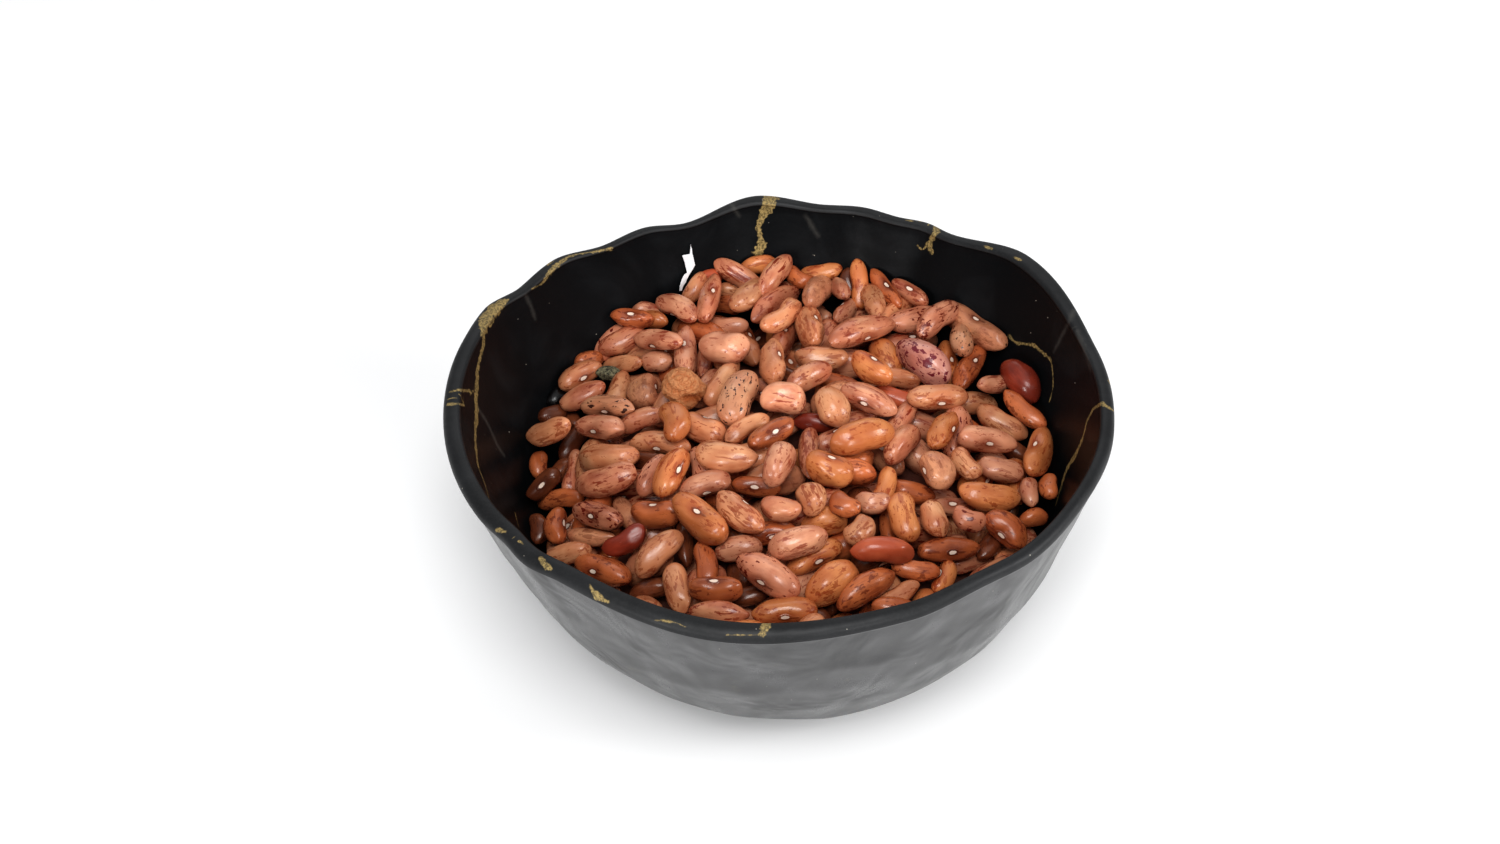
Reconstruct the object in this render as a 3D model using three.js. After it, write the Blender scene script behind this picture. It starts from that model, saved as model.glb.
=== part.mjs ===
import * as THREE from "three";

// A round bowl with a wavy rim and a hammered outside, filled with a heap of dried beans.
// Millimetres, +Z up. The origin is the centre of the foot's underside.
// Angles are in degrees, anticlockwise from +X seen from above.

// The bowl's driving dimensions
const RIM_RADIUS = 80; // outside of the lip, before its waves
const RIM_HEIGHT = 64; // top of the lip, before its waves
const FOOT_RADIUS = 33;
const FOOT_RECESS = { radius: 26, bevel: 1.2, depth: 1 };
const BELLY = 2.6; // power of the wall's curve: 1 is a cone, higher is rounder and steeper
const LIP = { height: 3, overhang: 0.8, round: 1.1, thickness: 4.2, undercut: 0.4 };
const FLOOR = { height: 4, radius: 30 };
const BOWL_SEGMENTS = 96;
const OUTSIDE_ROWS = 15;
const INSIDE_ROWS = 10;

// Crests and notches of the rim: [angle, how far out, how far up].
const RIM_WAVES = [
  [-172, 0, 0],
  [-147, 0.2, 0],
  [-140, -0.2, 0.2],
  [-134, 0.4, -0.3],
  [-126, -0.4, 0.4],
  [-99, 1.2, -0.8],
  [-69, -0.2, 0.4],
  [-55, -1.2, 1.2],
  [-44, -0.6, 0.6],
  [-30, -1, 0.6],
  [-9, 0, 0],
  [13, 0.4, 0],
  [40, 3.4, 2.6],
  [56, 0, 0],
  [61, 0.8, 0.2],
  [67, 0, 0],
  [74, 0.8, 0.2],
  [82, -0.2, 0],
  [94, 1.8, 1],
  [110, -3.2, -2.2],
  [118, -1.8, -1.4],
  [127, -2.8, -1.8],
  [138, -0.6, -0.4],
  [148, -1.4, -0.8],
  [157, 0.8, 0.2],
  [167, 0.2, 0.6],
];
const WAVE_FADE = 3.5; // power with which the waves fade from the lip to the foot

// The wall bellies out more on one side.
const BULGE = { angle: -30, depth: 2.6 };

// Hammer marks on the outside. Level is the share of their depth at the wall's own surface.
const HAMMER = { width: 17, height: 12, depth: 1.3, jitter: 0.6, level: 0.35 };

// The heap: height of its middle, and of its edge against the wall at each of these angles.
const HEAP_MIDDLE = 53.5;
const HEAP_EDGE = [
  [-170, 29],
  [-90, 38],
  [0, 39],
  [70, 46],
  [100, 46],
  [150, 34],
];
const HEAP_SLOPE = 2.2; // power of the radius with which the heap falls to its edge
const HEAP_GAP = 0.4; // between the heap and the bowl
const HEAP_SEGMENTS = 72;
const HEAP_WALL_ROWS = 6;
const HEAP_RINGS = 15;

// The beans that make the heap's top uneven: how far they stand proud, and how many there are
const BEAN = { length: 15, width: 9, proud: 3, count: 190, jitter: 0.8 };

// A torn shred of white paper that leans on the wall above the beans
const SHRED = {
  angle: 112.6,
  thickness: 0.5,
  lean: 18, // back towards the wall
  tilt: 8, // sideways
  above: 2.8, // over the beans
  inside: 2.2, // of the wall
};

// Its outline, as the height above its foot, the left edge and the right edge
const SHRED_EDGES = [
  [0, -0.84, -0.14],
  [1.3, -0.7, 0.42],
  [2.1, -0.48, 1.12],
  [3.1, -0.14, 1.54],
  [3.9, 0.28, 1.96],
  [4.5, 0.7, 2.32],
  [4.8, 1.4, 2.52],
  [5.45, 1.34, 2.94],
  [6.2, 1.12, 3.36],
  [6.75, 1.03, 3.64],
  [8.05, 0.7, 3.3],
  [9.6, 0.06, 2.94],
  [9.8, 0.42, 2.85],
  [9.9, 2.2, 2.82],
  [11.2, 2.24, 2.68],
  [12.7, 2.22, 2.37],
];

const TURN = 2 * Math.PI;
const GOLDEN_ANGLE = Math.PI * (3 - Math.sqrt(5));
const radians = (degrees) => (degrees * Math.PI) / 180;
const smooth = (t) => t * t * (3 - 2 * t);
const mix = (a, b, t) => a + (b - a) * t;
const between = (value, low, high) => Math.min(high, Math.max(low, value));

// A repeatable number from 0 to 1 for each set of whole numbers.
function scatter(...whole) {
  const x = 43758.5453 * Math.sin(whole.reduce((sum, n, k) => sum + n * (12.9898 + 65.233 * k), 4.1));
  return x - Math.floor(x);
}

// The value at an angle of a closed list of [angle, value, ...], level at each listed angle.
function around(list, angle, column = 1) {
  const degrees = (angle * 180) / Math.PI;
  for (let k = 0; k < list.length; k++) {
    const [from, to] = [list[k], list[(k + 1) % list.length]];
    const span = (to[0] - from[0] + 360) % 360;
    const along = (((degrees - from[0]) % 360) + 360) % 360;
    if (along <= span) return mix(from[column], to[column], smooth(along / span));
  }
  return list[0][column];
}

// Points at even distances along a profile given as a function of t from 0 to 1.
function evenly(profile, count) {
  const steps = 4 * count;
  const samples = Array.from({ length: steps + 1 }, (_, k) => {
    const p = profile(k / steps);
    return new THREE.Vector3(p.x, p.y, 0);
  });
  const curve = new THREE.CatmullRomCurve3(samples);
  return curve.getSpacedPoints(count - 1).map((p) => new THREE.Vector2(p.x, p.y));
}

// A closed surface of rows of points round +Z. place(angle, row) gives each point, and the first
// and last rows lie on the axis.
function revolve(rows, segments, place) {
  const guide = rows.map((_, k) => new THREE.Vector2(k && k < rows.length - 1 ? 1 : 0, k));
  const geometry = new THREE.LatheGeometry(guide, segments);
  const position = geometry.getAttribute("position");
  for (let v = 0; v < position.count; v++) {
    const angle = (TURN * (Math.floor(v / rows.length) % segments)) / segments;
    const p = place(angle, rows[v % rows.length]);
    position.setXYZ(v, p.x, p.y, p.z);
  }
  geometry.computeVertexNormals();
  return geometry;
}

// Profiles of the wall, as (radius, height)
function outerWall(t) {
  const top = RIM_RADIUS - LIP.overhang;
  return new THREE.Vector2(
    mix(FOOT_RADIUS, top, t),
    (RIM_HEIGHT - LIP.height) * Math.pow(t, BELLY),
  );
}

function innerWall(t) {
  return new THREE.Vector2(
    mix(FLOOR.radius, RIM_RADIUS - LIP.thickness, t),
    FLOOR.height + (RIM_HEIGHT - LIP.round - FLOOR.height) * Math.pow(t, BELLY),
  );
}

// Share of the inner wall's curve at which a height is reached
const wallShare = (height) =>
  Math.pow((height - FLOOR.height) / (RIM_HEIGHT - LIP.round - FLOOR.height), 1 / BELLY);

// A point of the bowl, pushed out by the bulge between foot and lip, and out and up by the rim's
// waves, less and less towards the foot
function shaped(radius, height, angle) {
  const up = between((radius - FOOT_RADIUS) / (RIM_RADIUS - FOOT_RADIUS), 0, 1);
  const wave = Math.pow(up, WAVE_FADE);
  const facing = Math.max(0, Math.cos(angle - radians(BULGE.angle)));
  const bulge = BULGE.depth * 4 * up * (1 - up) * facing * facing;
  const r = radius + bulge + around(RIM_WAVES, angle, 1) * wave;
  return new THREE.Vector3(
    r * Math.cos(angle),
    r * Math.sin(angle),
    height + around(RIM_WAVES, angle, 2) * wave,
  );
}

// The hammer blows, in rows up the outside: the angle of each, and its distance up the wall
function hammerBlows(length) {
  const rows = Math.round(length / HAMMER.height);
  const nudge = (row, blow, salt) => HAMMER.jitter * (scatter(row, blow, salt) - 0.5);
  return evenly(outerWall, rows + 1).flatMap(({ x: radius }, row) => {
    const count = Math.round((TURN * radius) / HAMMER.width);
    return Array.from({ length: count }, (_, blow) => ({
      angle: (TURN * (blow + nudge(row, blow, 0))) / count,
      up: ((row + nudge(row, blow, 1)) * length) / rows,
    }));
  });
}

// How far the hammered outside stands proud of the wall: hollows with ridges between them, from
// the distance to the nearest blow.
function hammered(blows, angle, up, radius) {
  let nearest = 1;
  for (const blow of blows) {
    const turn = Math.abs(angle - blow.angle) % TURN;
    const dx = (radius * Math.min(turn, TURN - turn)) / HAMMER.width;
    const dy = (up - blow.up) / HAMMER.height;
    nearest = Math.min(nearest, dx * dx + dy * dy);
  }
  return HAMMER.depth * (nearest - HAMMER.level);
}

// The bowl is a ring of rows: its foot, its outside, its lip, its inside and its floor. The hammer
// marks fade out towards the foot and the lip.
function makeBowl() {
  const plain = (x, y) => ({ at: new THREE.Vector2(x, y), marks: 0 });
  const wall = evenly(outerWall, OUTSIDE_ROWS);
  const length = wall.slice(1).reduce((sum, p, k) => sum + p.distanceTo(wall[k]), 0);
  const blows = hammerBlows(length);
  const outside = wall.map((at, k) => {
    const t = k / (wall.length - 1);
    return { at, marks: smooth(Math.min(1, 3 * t, 5 * (1 - t))), up: t * length };
  });
  const corner = (x, y, from) =>
    [0, 0.5, 1].map((t) => {
      const a = radians(from + 90 * t);
      return plain(x + LIP.round * Math.cos(a), y + LIP.round * Math.sin(a));
    });
  const inside = evenly(innerWall, INSIDE_ROWS).reverse();
  const rows = [
    plain(0, FOOT_RECESS.depth),
    plain(FOOT_RECESS.radius, FOOT_RECESS.depth),
    plain(FOOT_RECESS.radius + FOOT_RECESS.bevel, 0),
    ...outside,
    plain(RIM_RADIUS, RIM_HEIGHT - LIP.height + LIP.undercut),
    ...corner(RIM_RADIUS - LIP.round, RIM_HEIGHT - LIP.round, 0),
    ...corner(RIM_RADIUS - LIP.thickness + LIP.round, RIM_HEIGHT - LIP.round, 90),
    ...inside.slice(1).map((p) => plain(p.x, p.y)),
    plain(0, FLOOR.height),
  ];
  return revolve(rows, BOWL_SEGMENTS, (angle, { at, marks, up }) => {
    const proud = marks ? marks * hammered(blows, angle, up, at.x) : 0;
    return shaped(at.x + proud, at.y, angle);
  });
}

// Beans that lie all over the heap, each turned its own way
const beans = Array.from({ length: BEAN.count }, (_, k) => {
  const place = (k + 0.5 + BEAN.jitter * (scatter(k, 0) - 0.5)) / BEAN.count;
  const radius = RIM_RADIUS * Math.sqrt(place);
  const angle = k * GOLDEN_ANGLE + (BEAN.jitter * BEAN.width * (scatter(k, 1) - 0.5)) / radius;
  return {
    x: radius * Math.cos(angle),
    y: radius * Math.sin(angle),
    turn: Math.PI * scatter(k, 2),
    proud: BEAN.proud * mix(0.4, 1, scatter(k, 3)),
  };
});

// How far the highest bean at a point stands above the heap's smooth surface
function beanRelief(x, y) {
  let proud = 0;
  for (const bean of beans) {
    const [dx, dy] = [x - bean.x, y - bean.y];
    const along = dx * Math.cos(bean.turn) + dy * Math.sin(bean.turn);
    const across = dy * Math.cos(bean.turn) - dx * Math.sin(bean.turn);
    const left = 1 - (2 * along / BEAN.length) ** 2 - (2 * across / BEAN.width) ** 2;
    proud = Math.max(proud, bean.proud * left);
  }
  return proud;
}

// The heap fills the bowl up to its edge against the wall, and rises from there to its middle.
function makeHeap() {
  const rows = [{ floor: true }];
  for (let k = 0; k <= HEAP_WALL_ROWS; k++) rows.push({ wall: k / HEAP_WALL_ROWS });
  for (let k = HEAP_RINGS - 1; k >= 0; k--) rows.push({ top: k / HEAP_RINGS });
  return revolve(rows, HEAP_SEGMENTS, (angle, row) => {
    if (row.floor) return new THREE.Vector3(0, 0, FLOOR.height + HEAP_GAP);
    const edge = around(HEAP_EDGE, angle);
    const share = wallShare(edge);
    if ("wall" in row) {
      const at = innerWall(share * row.wall);
      return shaped(at.x - HEAP_GAP, at.y + HEAP_GAP, angle);
    }
    const wall = shaped(innerWall(share).x - HEAP_GAP, edge, angle);
    const [x, y] = [wall.x * row.top, wall.y * row.top];
    const height = mix(HEAP_MIDDLE, edge, Math.pow(row.top, HEAP_SLOPE));
    return new THREE.Vector3(x, y, height + beanRelief(x, y));
  });
}

// The shred's torn outline, wide above the middle, narrow below it, and drawn out to a point at its top right
function makeShred() {
  const left = SHRED_EDGES.map(([height, side]) => new THREE.Vector2(side, height));
  const right = SHRED_EDGES.map(([height, , side]) => new THREE.Vector2(side, height));
  const geometry = new THREE.ExtrudeGeometry(new THREE.Shape([...left, ...right.reverse()]), {
    depth: SHRED.thickness,
    bevelEnabled: false,
  });
  return geometry.translate(0, 0, -SHRED.thickness / 2);
}

function named(name, geometry, look) {
  const mesh = new THREE.Mesh(geometry, new THREE.MeshStandardMaterial(look));
  mesh.name = name;
  return mesh;
}

const bowl = named("bowl", makeBowl(), { color: 0x1b1c1f, roughness: 0.35, metalness: 0 });
const heap = named("beans", makeHeap(), { color: 0xa8643f, roughness: 0.45, metalness: 0 });
const shred = named("paper_shred", makeShred(), { color: 0xf2f2f0, roughness: 0.8, metalness: 0 });

// The shred stands above the heap's edge, its top leaning back towards the wall.
const shredAngle = radians(SHRED.angle);
const shredFoot = around(HEAP_EDGE, shredAngle) + SHRED.above;
const shredRadius = innerWall(wallShare(shredFoot)).x - SHRED.inside;
const shredPlace = new THREE.Group();
shredPlace.position.copy(shaped(shredRadius, shredFoot, shredAngle));
shredPlace.rotation.z = shredAngle - Math.PI / 2;
shred.rotation.set(Math.PI / 2 - radians(SHRED.lean), 0, -radians(SHRED.tilt));
shredPlace.add(shred);

const group = new THREE.Group();
group.add(bowl, heap, shredPlace);

export default group;
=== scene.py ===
"""A round black bowl, marbled with gold, full of dried speckled beans, on a plain pale floor.

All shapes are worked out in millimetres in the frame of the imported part, and each mesh is made in metres.
"""

import math

import bpy
import numpy as np
from mathutils import Matrix, Vector
from mathutils.bvhtree import BVHTree


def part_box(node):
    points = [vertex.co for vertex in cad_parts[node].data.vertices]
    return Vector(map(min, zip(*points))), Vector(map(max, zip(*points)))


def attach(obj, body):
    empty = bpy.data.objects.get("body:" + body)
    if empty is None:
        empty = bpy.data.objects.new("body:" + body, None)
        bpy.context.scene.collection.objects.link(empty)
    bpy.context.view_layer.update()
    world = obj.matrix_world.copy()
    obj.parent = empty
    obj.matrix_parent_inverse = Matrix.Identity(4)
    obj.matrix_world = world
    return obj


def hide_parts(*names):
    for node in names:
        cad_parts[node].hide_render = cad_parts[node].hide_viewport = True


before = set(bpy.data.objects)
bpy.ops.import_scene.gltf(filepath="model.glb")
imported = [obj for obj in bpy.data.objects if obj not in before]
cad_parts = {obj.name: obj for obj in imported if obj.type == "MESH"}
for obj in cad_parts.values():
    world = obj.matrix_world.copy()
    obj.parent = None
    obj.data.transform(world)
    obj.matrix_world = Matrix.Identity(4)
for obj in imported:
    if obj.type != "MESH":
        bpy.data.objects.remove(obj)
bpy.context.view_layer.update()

MM = 0.001
TURN = 2 * math.pi

# The camera of the reference view: the picture's size, its place in millimetres, its aim and its lens.
PICTURE = (1500, 844)
EYE = np.array([0.0, -405.584, 400.044])
PITCH = math.radians(40.49)
YAW = math.radians(-0.963)
LENS = 52.8
SENSOR = 36.0

# The bowl.
RIM_RADIUS = 80
RIM_HEIGHT = 64
FOOT_RADIUS = 33
FOOT_RECESS = {"radius": 26, "bevel": 1.2, "depth": 1}
BELLY = 2.6
LIP = {"height": 3, "overhang": 0.8, "round": 1.1, "thickness": 4.2, "undercut": 0.4}
FLOOR = {"height": 4, "radius": 30}
RIM_WAVES = [
    (-172, 0, 0), (-147, 0.2, 0), (-140, -0.2, 0.2), (-134, 0.4, -0.3), (-126, -0.4, 0.4),
    (-99, 1.2, -0.8), (-69, -0.2, 0.4), (-55, -1.2, 1.2), (-44, -0.6, 0.6), (-30, -1, 0.6), (-9, 0, 0),
    (13, 0.4, 0), (40, 3.4, 2.6), (56, 0, 0), (61, 0.8, 0.2), (67, 0, 0), (74, 0.8, 0.2), (82, -0.2, 0),
    (94, 1.8, 1), (110, -3.2, -2.2), (118, -1.8, -1.4), (127, -2.8, -1.8), (138, -0.6, -0.4),
    (148, -1.4, -0.8), (157, 0.8, 0.2), (167, 0.2, 0.6),
]
WAVE_FADE = 3.5
BULGE = {"angle": -30, "depth": 2.6}
HAMMER = {"width": 17, "height": 12, "depth": 1.3, "jitter": 0.6, "level": 0.35}

# The heap that the beans fill.
HEAP_MIDDLE = 53.5
HEAP_EDGE = [(-170, 29), (-90, 38), (0, 39), (70, 46), (100, 46), (150, 34)]
HEAP_SLOPE = 2.2
HEAP_GAP = 0.4
SHRED = {"angle": 112.6, "lean": 18, "tilt": 8, "above": 2.8, "inside": 2.2}


def smooth(t):
    return t * t * (3 - 2 * t)


def mix(a, b, t):
    return a + (b - a) * t


def around(rows, angle, column=1):
    """A value read from rows of (degrees, value...) round a full turn, eased from one row to the next."""
    rows = sorted(rows)
    at = np.array([row[0] for row in rows] + [rows[0][0] + 360], float)
    value = np.array([row[column] for row in rows] + [rows[0][column]], float)
    degrees = (np.degrees(angle) - at[0]) % 360 + at[0]
    k = np.clip(np.searchsorted(at, degrees, side="right") - 1, 0, len(rows) - 1)
    return mix(value[k], value[k + 1], smooth((degrees - at[k]) / (at[k + 1] - at[k])))


def scatter(row, blow, salt):
    """The same even spread of numbers between 0 and 1 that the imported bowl's hammer blows have."""
    total = 4.1 + sum(n * (12.9898 + 65.233 * k) for k, n in enumerate((row, blow, salt)))
    x = 43758.5453 * math.sin(total)
    return x - math.floor(x)


def outer_wall(t):
    radius = mix(FOOT_RADIUS, RIM_RADIUS - LIP["overhang"], t)
    return np.stack([radius, (RIM_HEIGHT - LIP["height"]) * t**BELLY], -1)


def inner_wall(t):
    top = RIM_HEIGHT - LIP["round"] - FLOOR["height"]
    radius = mix(FLOOR["radius"], RIM_RADIUS - LIP["thickness"], t)
    return np.stack([radius, FLOOR["height"] + top * t**BELLY], -1)


def inner_radius(height):
    top = RIM_HEIGHT - LIP["round"] - FLOOR["height"]
    share = (np.maximum(height - FLOOR["height"], 0) / top) ** (1 / BELLY)
    return mix(FLOOR["radius"], RIM_RADIUS - LIP["thickness"], share)


def shaped(radius, height, angle):
    """Where a point of the round profile goes once the rim waves and the wall bulges."""
    up = np.clip((radius - FOOT_RADIUS) / (RIM_RADIUS - FOOT_RADIUS), 0, 1)
    wave = up**WAVE_FADE
    facing = np.maximum(0, np.cos(angle - math.radians(BULGE["angle"])))
    bulge = BULGE["depth"] * 4 * up * (1 - up) * facing**2
    return radius + bulge + around(RIM_WAVES, angle, 1) * wave, height + around(RIM_WAVES, angle, 2) * wave


def evenly(profile, count):
    """count points at even steps along a curved profile, its two ends among them."""
    fine = profile(np.linspace(0, 1, 600))
    run = np.concatenate([[0], np.cumsum(np.linalg.norm(np.diff(fine, axis=0), axis=1))])
    steps = np.linspace(0, run[-1], count)
    return np.stack([np.interp(steps, run, fine[:, k]) for k in (0, 1)], -1), run[-1]


def hammered(angle, radius, up, length):
    """How far hammer blows push the wall out or in, at points with this angle, radius and way up it."""
    rows = round(length / HAMMER["height"])
    points, _ = evenly(outer_wall, rows + 1)
    blows = []
    for row, (ring, _) in enumerate(points):
        count = round(TURN * ring / HAMMER["width"])
        for blow in range(count):
            nudge = [HAMMER["jitter"] * (scatter(row, blow, salt) - 0.5) for salt in (0, 1)]
            blows.append((TURN * (blow + nudge[0]) / count, (row + nudge[1]) * length / rows))
    blows = np.array(blows)
    turn = angle[..., None] - blows[:, 0]
    aside = radius[..., None] * ((turn + math.pi) % TURN - math.pi) / HAMMER["width"]
    above = (up[..., None] - blows[:, 1]) / HAMMER["height"]
    near = aside**2 + above**2
    soft = -np.log(np.exp(-9 * near).sum(-1) + 1e-9) / 9
    return HAMMER["depth"] * (np.clip(soft, -0.1, 1) - HAMMER["level"])


def heap_height(x, y):
    """Height of the heap's smooth surface, without the beans' own relief."""
    angle = np.arctan2(y, x)
    edge = around(HEAP_EDGE, angle)
    share = np.clip(np.hypot(x, y) / (inner_radius(edge) - HEAP_GAP), 0, 1.05)
    return mix(HEAP_MIDDLE, edge, share**HEAP_SLOPE)


# ----------------------------------------------------------------------------------------- the camera's view
FORWARD = np.array([math.sin(YAW) * math.cos(PITCH), math.cos(YAW) * math.cos(PITCH), -math.sin(PITCH)])
RIGHT = np.array([math.cos(YAW), -math.sin(YAW), 0])
UPWARD = np.cross(RIGHT, FORWARD)
FOCAL = LENS / SENSOR * PICTURE[0]


def ray(x, y):
    """Unit direction from the camera through a point of the picture."""
    d = FORWARD + RIGHT * (x - PICTURE[0] / 2) / FOCAL - UPWARD * (y - PICTURE[1] / 2) / FOCAL
    return d / np.linalg.norm(d)


def on_heap(x, y, deep):
    """The point at that depth under the heap's surface that shows at a point of the picture."""
    d = ray(x, y)
    height = HEAP_MIDDLE
    for _ in range(30):
        p = EYE + d * (height - EYE[2]) / d[2]
        height = heap_height(p[0], p[1]) - deep
    return p


def heap_normal(p):
    step = 2.0
    slope_x = (heap_height(p[0] + step, p[1]) - heap_height(p[0] - step, p[1])) / (2 * step)
    slope_y = (heap_height(p[0], p[1] + step) - heap_height(p[0], p[1] - step)) / (2 * step)
    n = np.array([-slope_x, -slope_y, 1.0])
    return n / np.linalg.norm(n)


def add_camera():
    data = bpy.data.cameras.new("camera")
    data.lens = LENS
    data.sensor_width = SENSOR
    data.clip_start = 0.01
    data.clip_end = 20
    camera = bpy.data.objects.new("camera", data)
    bpy.context.scene.collection.objects.link(camera)
    axes = Matrix([list(RIGHT), list(UPWARD), list(-FORWARD)]).transposed().to_4x4()
    camera.matrix_world = Matrix.Translation(Vector(EYE * MM)) @ axes
    bpy.context.scene.camera = camera


# ----------------------------------------------------------------------------------------------- mesh making
def net_faces(rows, sides, flip=False):
    """Faces of a closed net: rows of points round it, and then one point that closes each end."""
    k, s = np.meshgrid(np.arange(rows - 1), np.arange(sides), indexing="ij")
    n = (s + 1) % sides
    quads = np.stack([k * sides + s, k * sides + n, (k + 1) * sides + n, (k + 1) * sides + s], -1)
    quads = quads.reshape(-1, 4)
    s, n, end = s[0], n[0], (rows - 1) * sides
    first, last = 0 * s + rows * sides, 0 * s + rows * sides + 1
    tris = np.concatenate([np.stack([n, s, first], -1), np.stack([end + s, end + n, last], -1)])
    return (quads[:, [0, 3, 2, 1]], tris[:, [1, 0, 2]]) if flip else (quads, tris)


def new_piece(name, points, quads=(), tris=()):
    """A mesh object from points in millimetres and arrays of four- and three-cornered faces."""
    quads = np.asarray(quads, int).reshape(-1, 4)
    tris = np.asarray(tris, int).reshape(-1, 3)
    mesh = bpy.data.meshes.new(name)
    mesh.vertices.add(len(points))
    mesh.vertices.foreach_set("co", (np.asarray(points, float) * MM).ravel())
    mesh.loops.add(quads.size + tris.size)
    mesh.loops.foreach_set("vertex_index", np.concatenate([quads.ravel(), tris.ravel()]))
    mesh.polygons.add(len(quads) + len(tris))
    starts = np.concatenate([np.arange(len(quads)) * 4, quads.size + np.arange(len(tris)) * 3])
    mesh.polygons.foreach_set("loop_start", starts)
    mesh.polygons.foreach_set("use_smooth", np.full(len(starts), True))
    mesh.update(calc_edges=True)
    mesh.validate()
    piece = bpy.data.objects.new(name, mesh)
    bpy.context.scene.collection.objects.link(piece)
    return piece


def keep_vectors(piece, name, values):
    kept = piece.data.attributes.new(name, "FLOAT_VECTOR", "POINT").data
    kept.foreach_set("vector", np.asarray(values, float).ravel())


def keep_numbers(piece, name, values):
    kept = piece.data.attributes.new(name, "FLOAT", "POINT").data
    kept.foreach_set("value", np.asarray(values, float).ravel())


def finish_piece(piece, node, material):
    piece.data.materials.append(material)
    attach(piece, "root")
    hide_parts(node)


# ------------------------------------------------------------------------------------------- material making
class Value:
    """What comes out of a node, which sums and products can be made of."""

    def __init__(self, shader, socket):
        self.shader = shader
        self.socket = socket

    def __add__(self, other):
        return self.shader.math("ADD", self, other)

    def __sub__(self, other):
        return self.shader.math("SUBTRACT", self, other)

    def __rsub__(self, other):
        return self.shader.math("SUBTRACT", other, self)

    def __mul__(self, other):
        return self.shader.math("MULTIPLY", self, other)

    def __abs__(self):
        return self.shader.math("ABSOLUTE", self)

    __radd__ = __add__
    __rmul__ = __mul__


class Shader:
    """A node tree in the making: each method adds one node and gives back what comes out of it."""

    def __init__(self, name):
        self.material = bpy.data.materials.new(name)
        self.material.use_nodes = True
        self.tree = self.material.node_tree

    def put(self, socket, value):
        if isinstance(value, Value):
            self.tree.links.new(value.socket, socket)
        elif socket.type == "RGBA" and len(value) == 3:
            socket.default_value = (*value, 1)
        else:
            socket.default_value = value

    def node(self, kind, out, sockets, **settings):
        made = self.tree.nodes.new(kind)
        for key, value in settings.items():
            setattr(made, key, value)
        for key, value in sockets.items():
            self.put(made.inputs[key], value)
        return Value(self, made.outputs[out])

    def attribute(self, name, out="Vector"):
        return self.node("ShaderNodeAttribute", out, {}, attribute_name=name)

    def math(self, kind, a, b=0.0):
        return self.node("ShaderNodeMath", 0, {0: a, 1: b}, operation=kind)

    def place(self):
        """Where a point of the piece lies, in millimetres."""
        where = self.node("ShaderNodeTexCoord", "Object", {})
        return self.node("ShaderNodeVectorMath", 0, {0: where, "Scale": 1 / MM}, operation="SCALE")

    def stretched(self, vector, x, y, z):
        return self.node("ShaderNodeVectorMath", 0, {0: vector, 1: (x, y, z)}, operation="MULTIPLY")

    def length(self, vector):
        return self.node("ShaderNodeVectorMath", "Value", {0: vector}, operation="LENGTH")

    def parts(self, vector):
        """The three numbers of a vector."""
        first = self.node("ShaderNodeSeparateXYZ", 0, {0: vector})
        return [Value(self, socket) for socket in first.socket.node.outputs]

    def noise(self, vector, scale, detail=2.0, rough=0.5, seed=None, twist=0.0):
        sockets = {"Vector": vector, "Scale": scale, "Detail": detail, "Roughness": rough,
                   "Distortion": twist}
        if seed is None:
            return self.node("ShaderNodeTexNoise", "Fac", sockets)
        return self.node("ShaderNodeTexNoise", "Fac", {**sockets, "W": seed}, noise_dimensions="4D")

    def cells(self, vector, scale):
        return self.node("ShaderNodeTexVoronoi", "Distance", {"Vector": vector, "Scale": scale})

    def between(self, value, low, high, to_low=0.0, to_high=1.0):
        """0 below low and 1 above high, eased between them."""
        ends = {"Value": value, "From Min": low, "From Max": high, "To Min": to_low, "To Max": to_high}
        return self.node("ShaderNodeMapRange", 0, ends, interpolation_type="SMOOTHSTEP")

    def blend(self, share, a, b, kind="MIX"):
        return self.node("ShaderNodeMix", 2, {0: share, 6: a, 7: b}, data_type="RGBA", blend_type=kind)

    def bump(self, height, distance, strength=1.0, **under):
        sockets = {"Height": height, "Distance": distance, "Strength": strength, **under}
        return self.node("ShaderNodeBump", 0, sockets)

    def finish(self, **sockets):
        surface = self.tree.nodes["Principled BSDF"]
        for key, value in sockets.items():
            self.put(surface.inputs[key.replace("_", " ")], value)
        return self.material


def srgb(*colour):
    """A linear colour from a screen colour of 0 to 255."""
    shares = [v / 255 for v in colour]
    return tuple(v / 12.92 if v <= 0.04045 else ((v + 0.055) / 1.055) ** 2.4 for v in shares)


# -------------------------------------------------------------------------------------------------- the bowl
BOWL_SIDES = 384
OUTSIDE_ROWS = 76
INSIDE_ROWS = 44
CORNER_ROWS = 9
ROLL = (2.6, 2.0)
ON_LIP = 0.42
FOOT_RING = 30
UNDER_LIP = 0.15


def quarter(steps):
    """Angles over a quarter turn, without its start."""
    return [k / steps * math.pi / 2 for k in range(1, steps + 1)]


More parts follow.
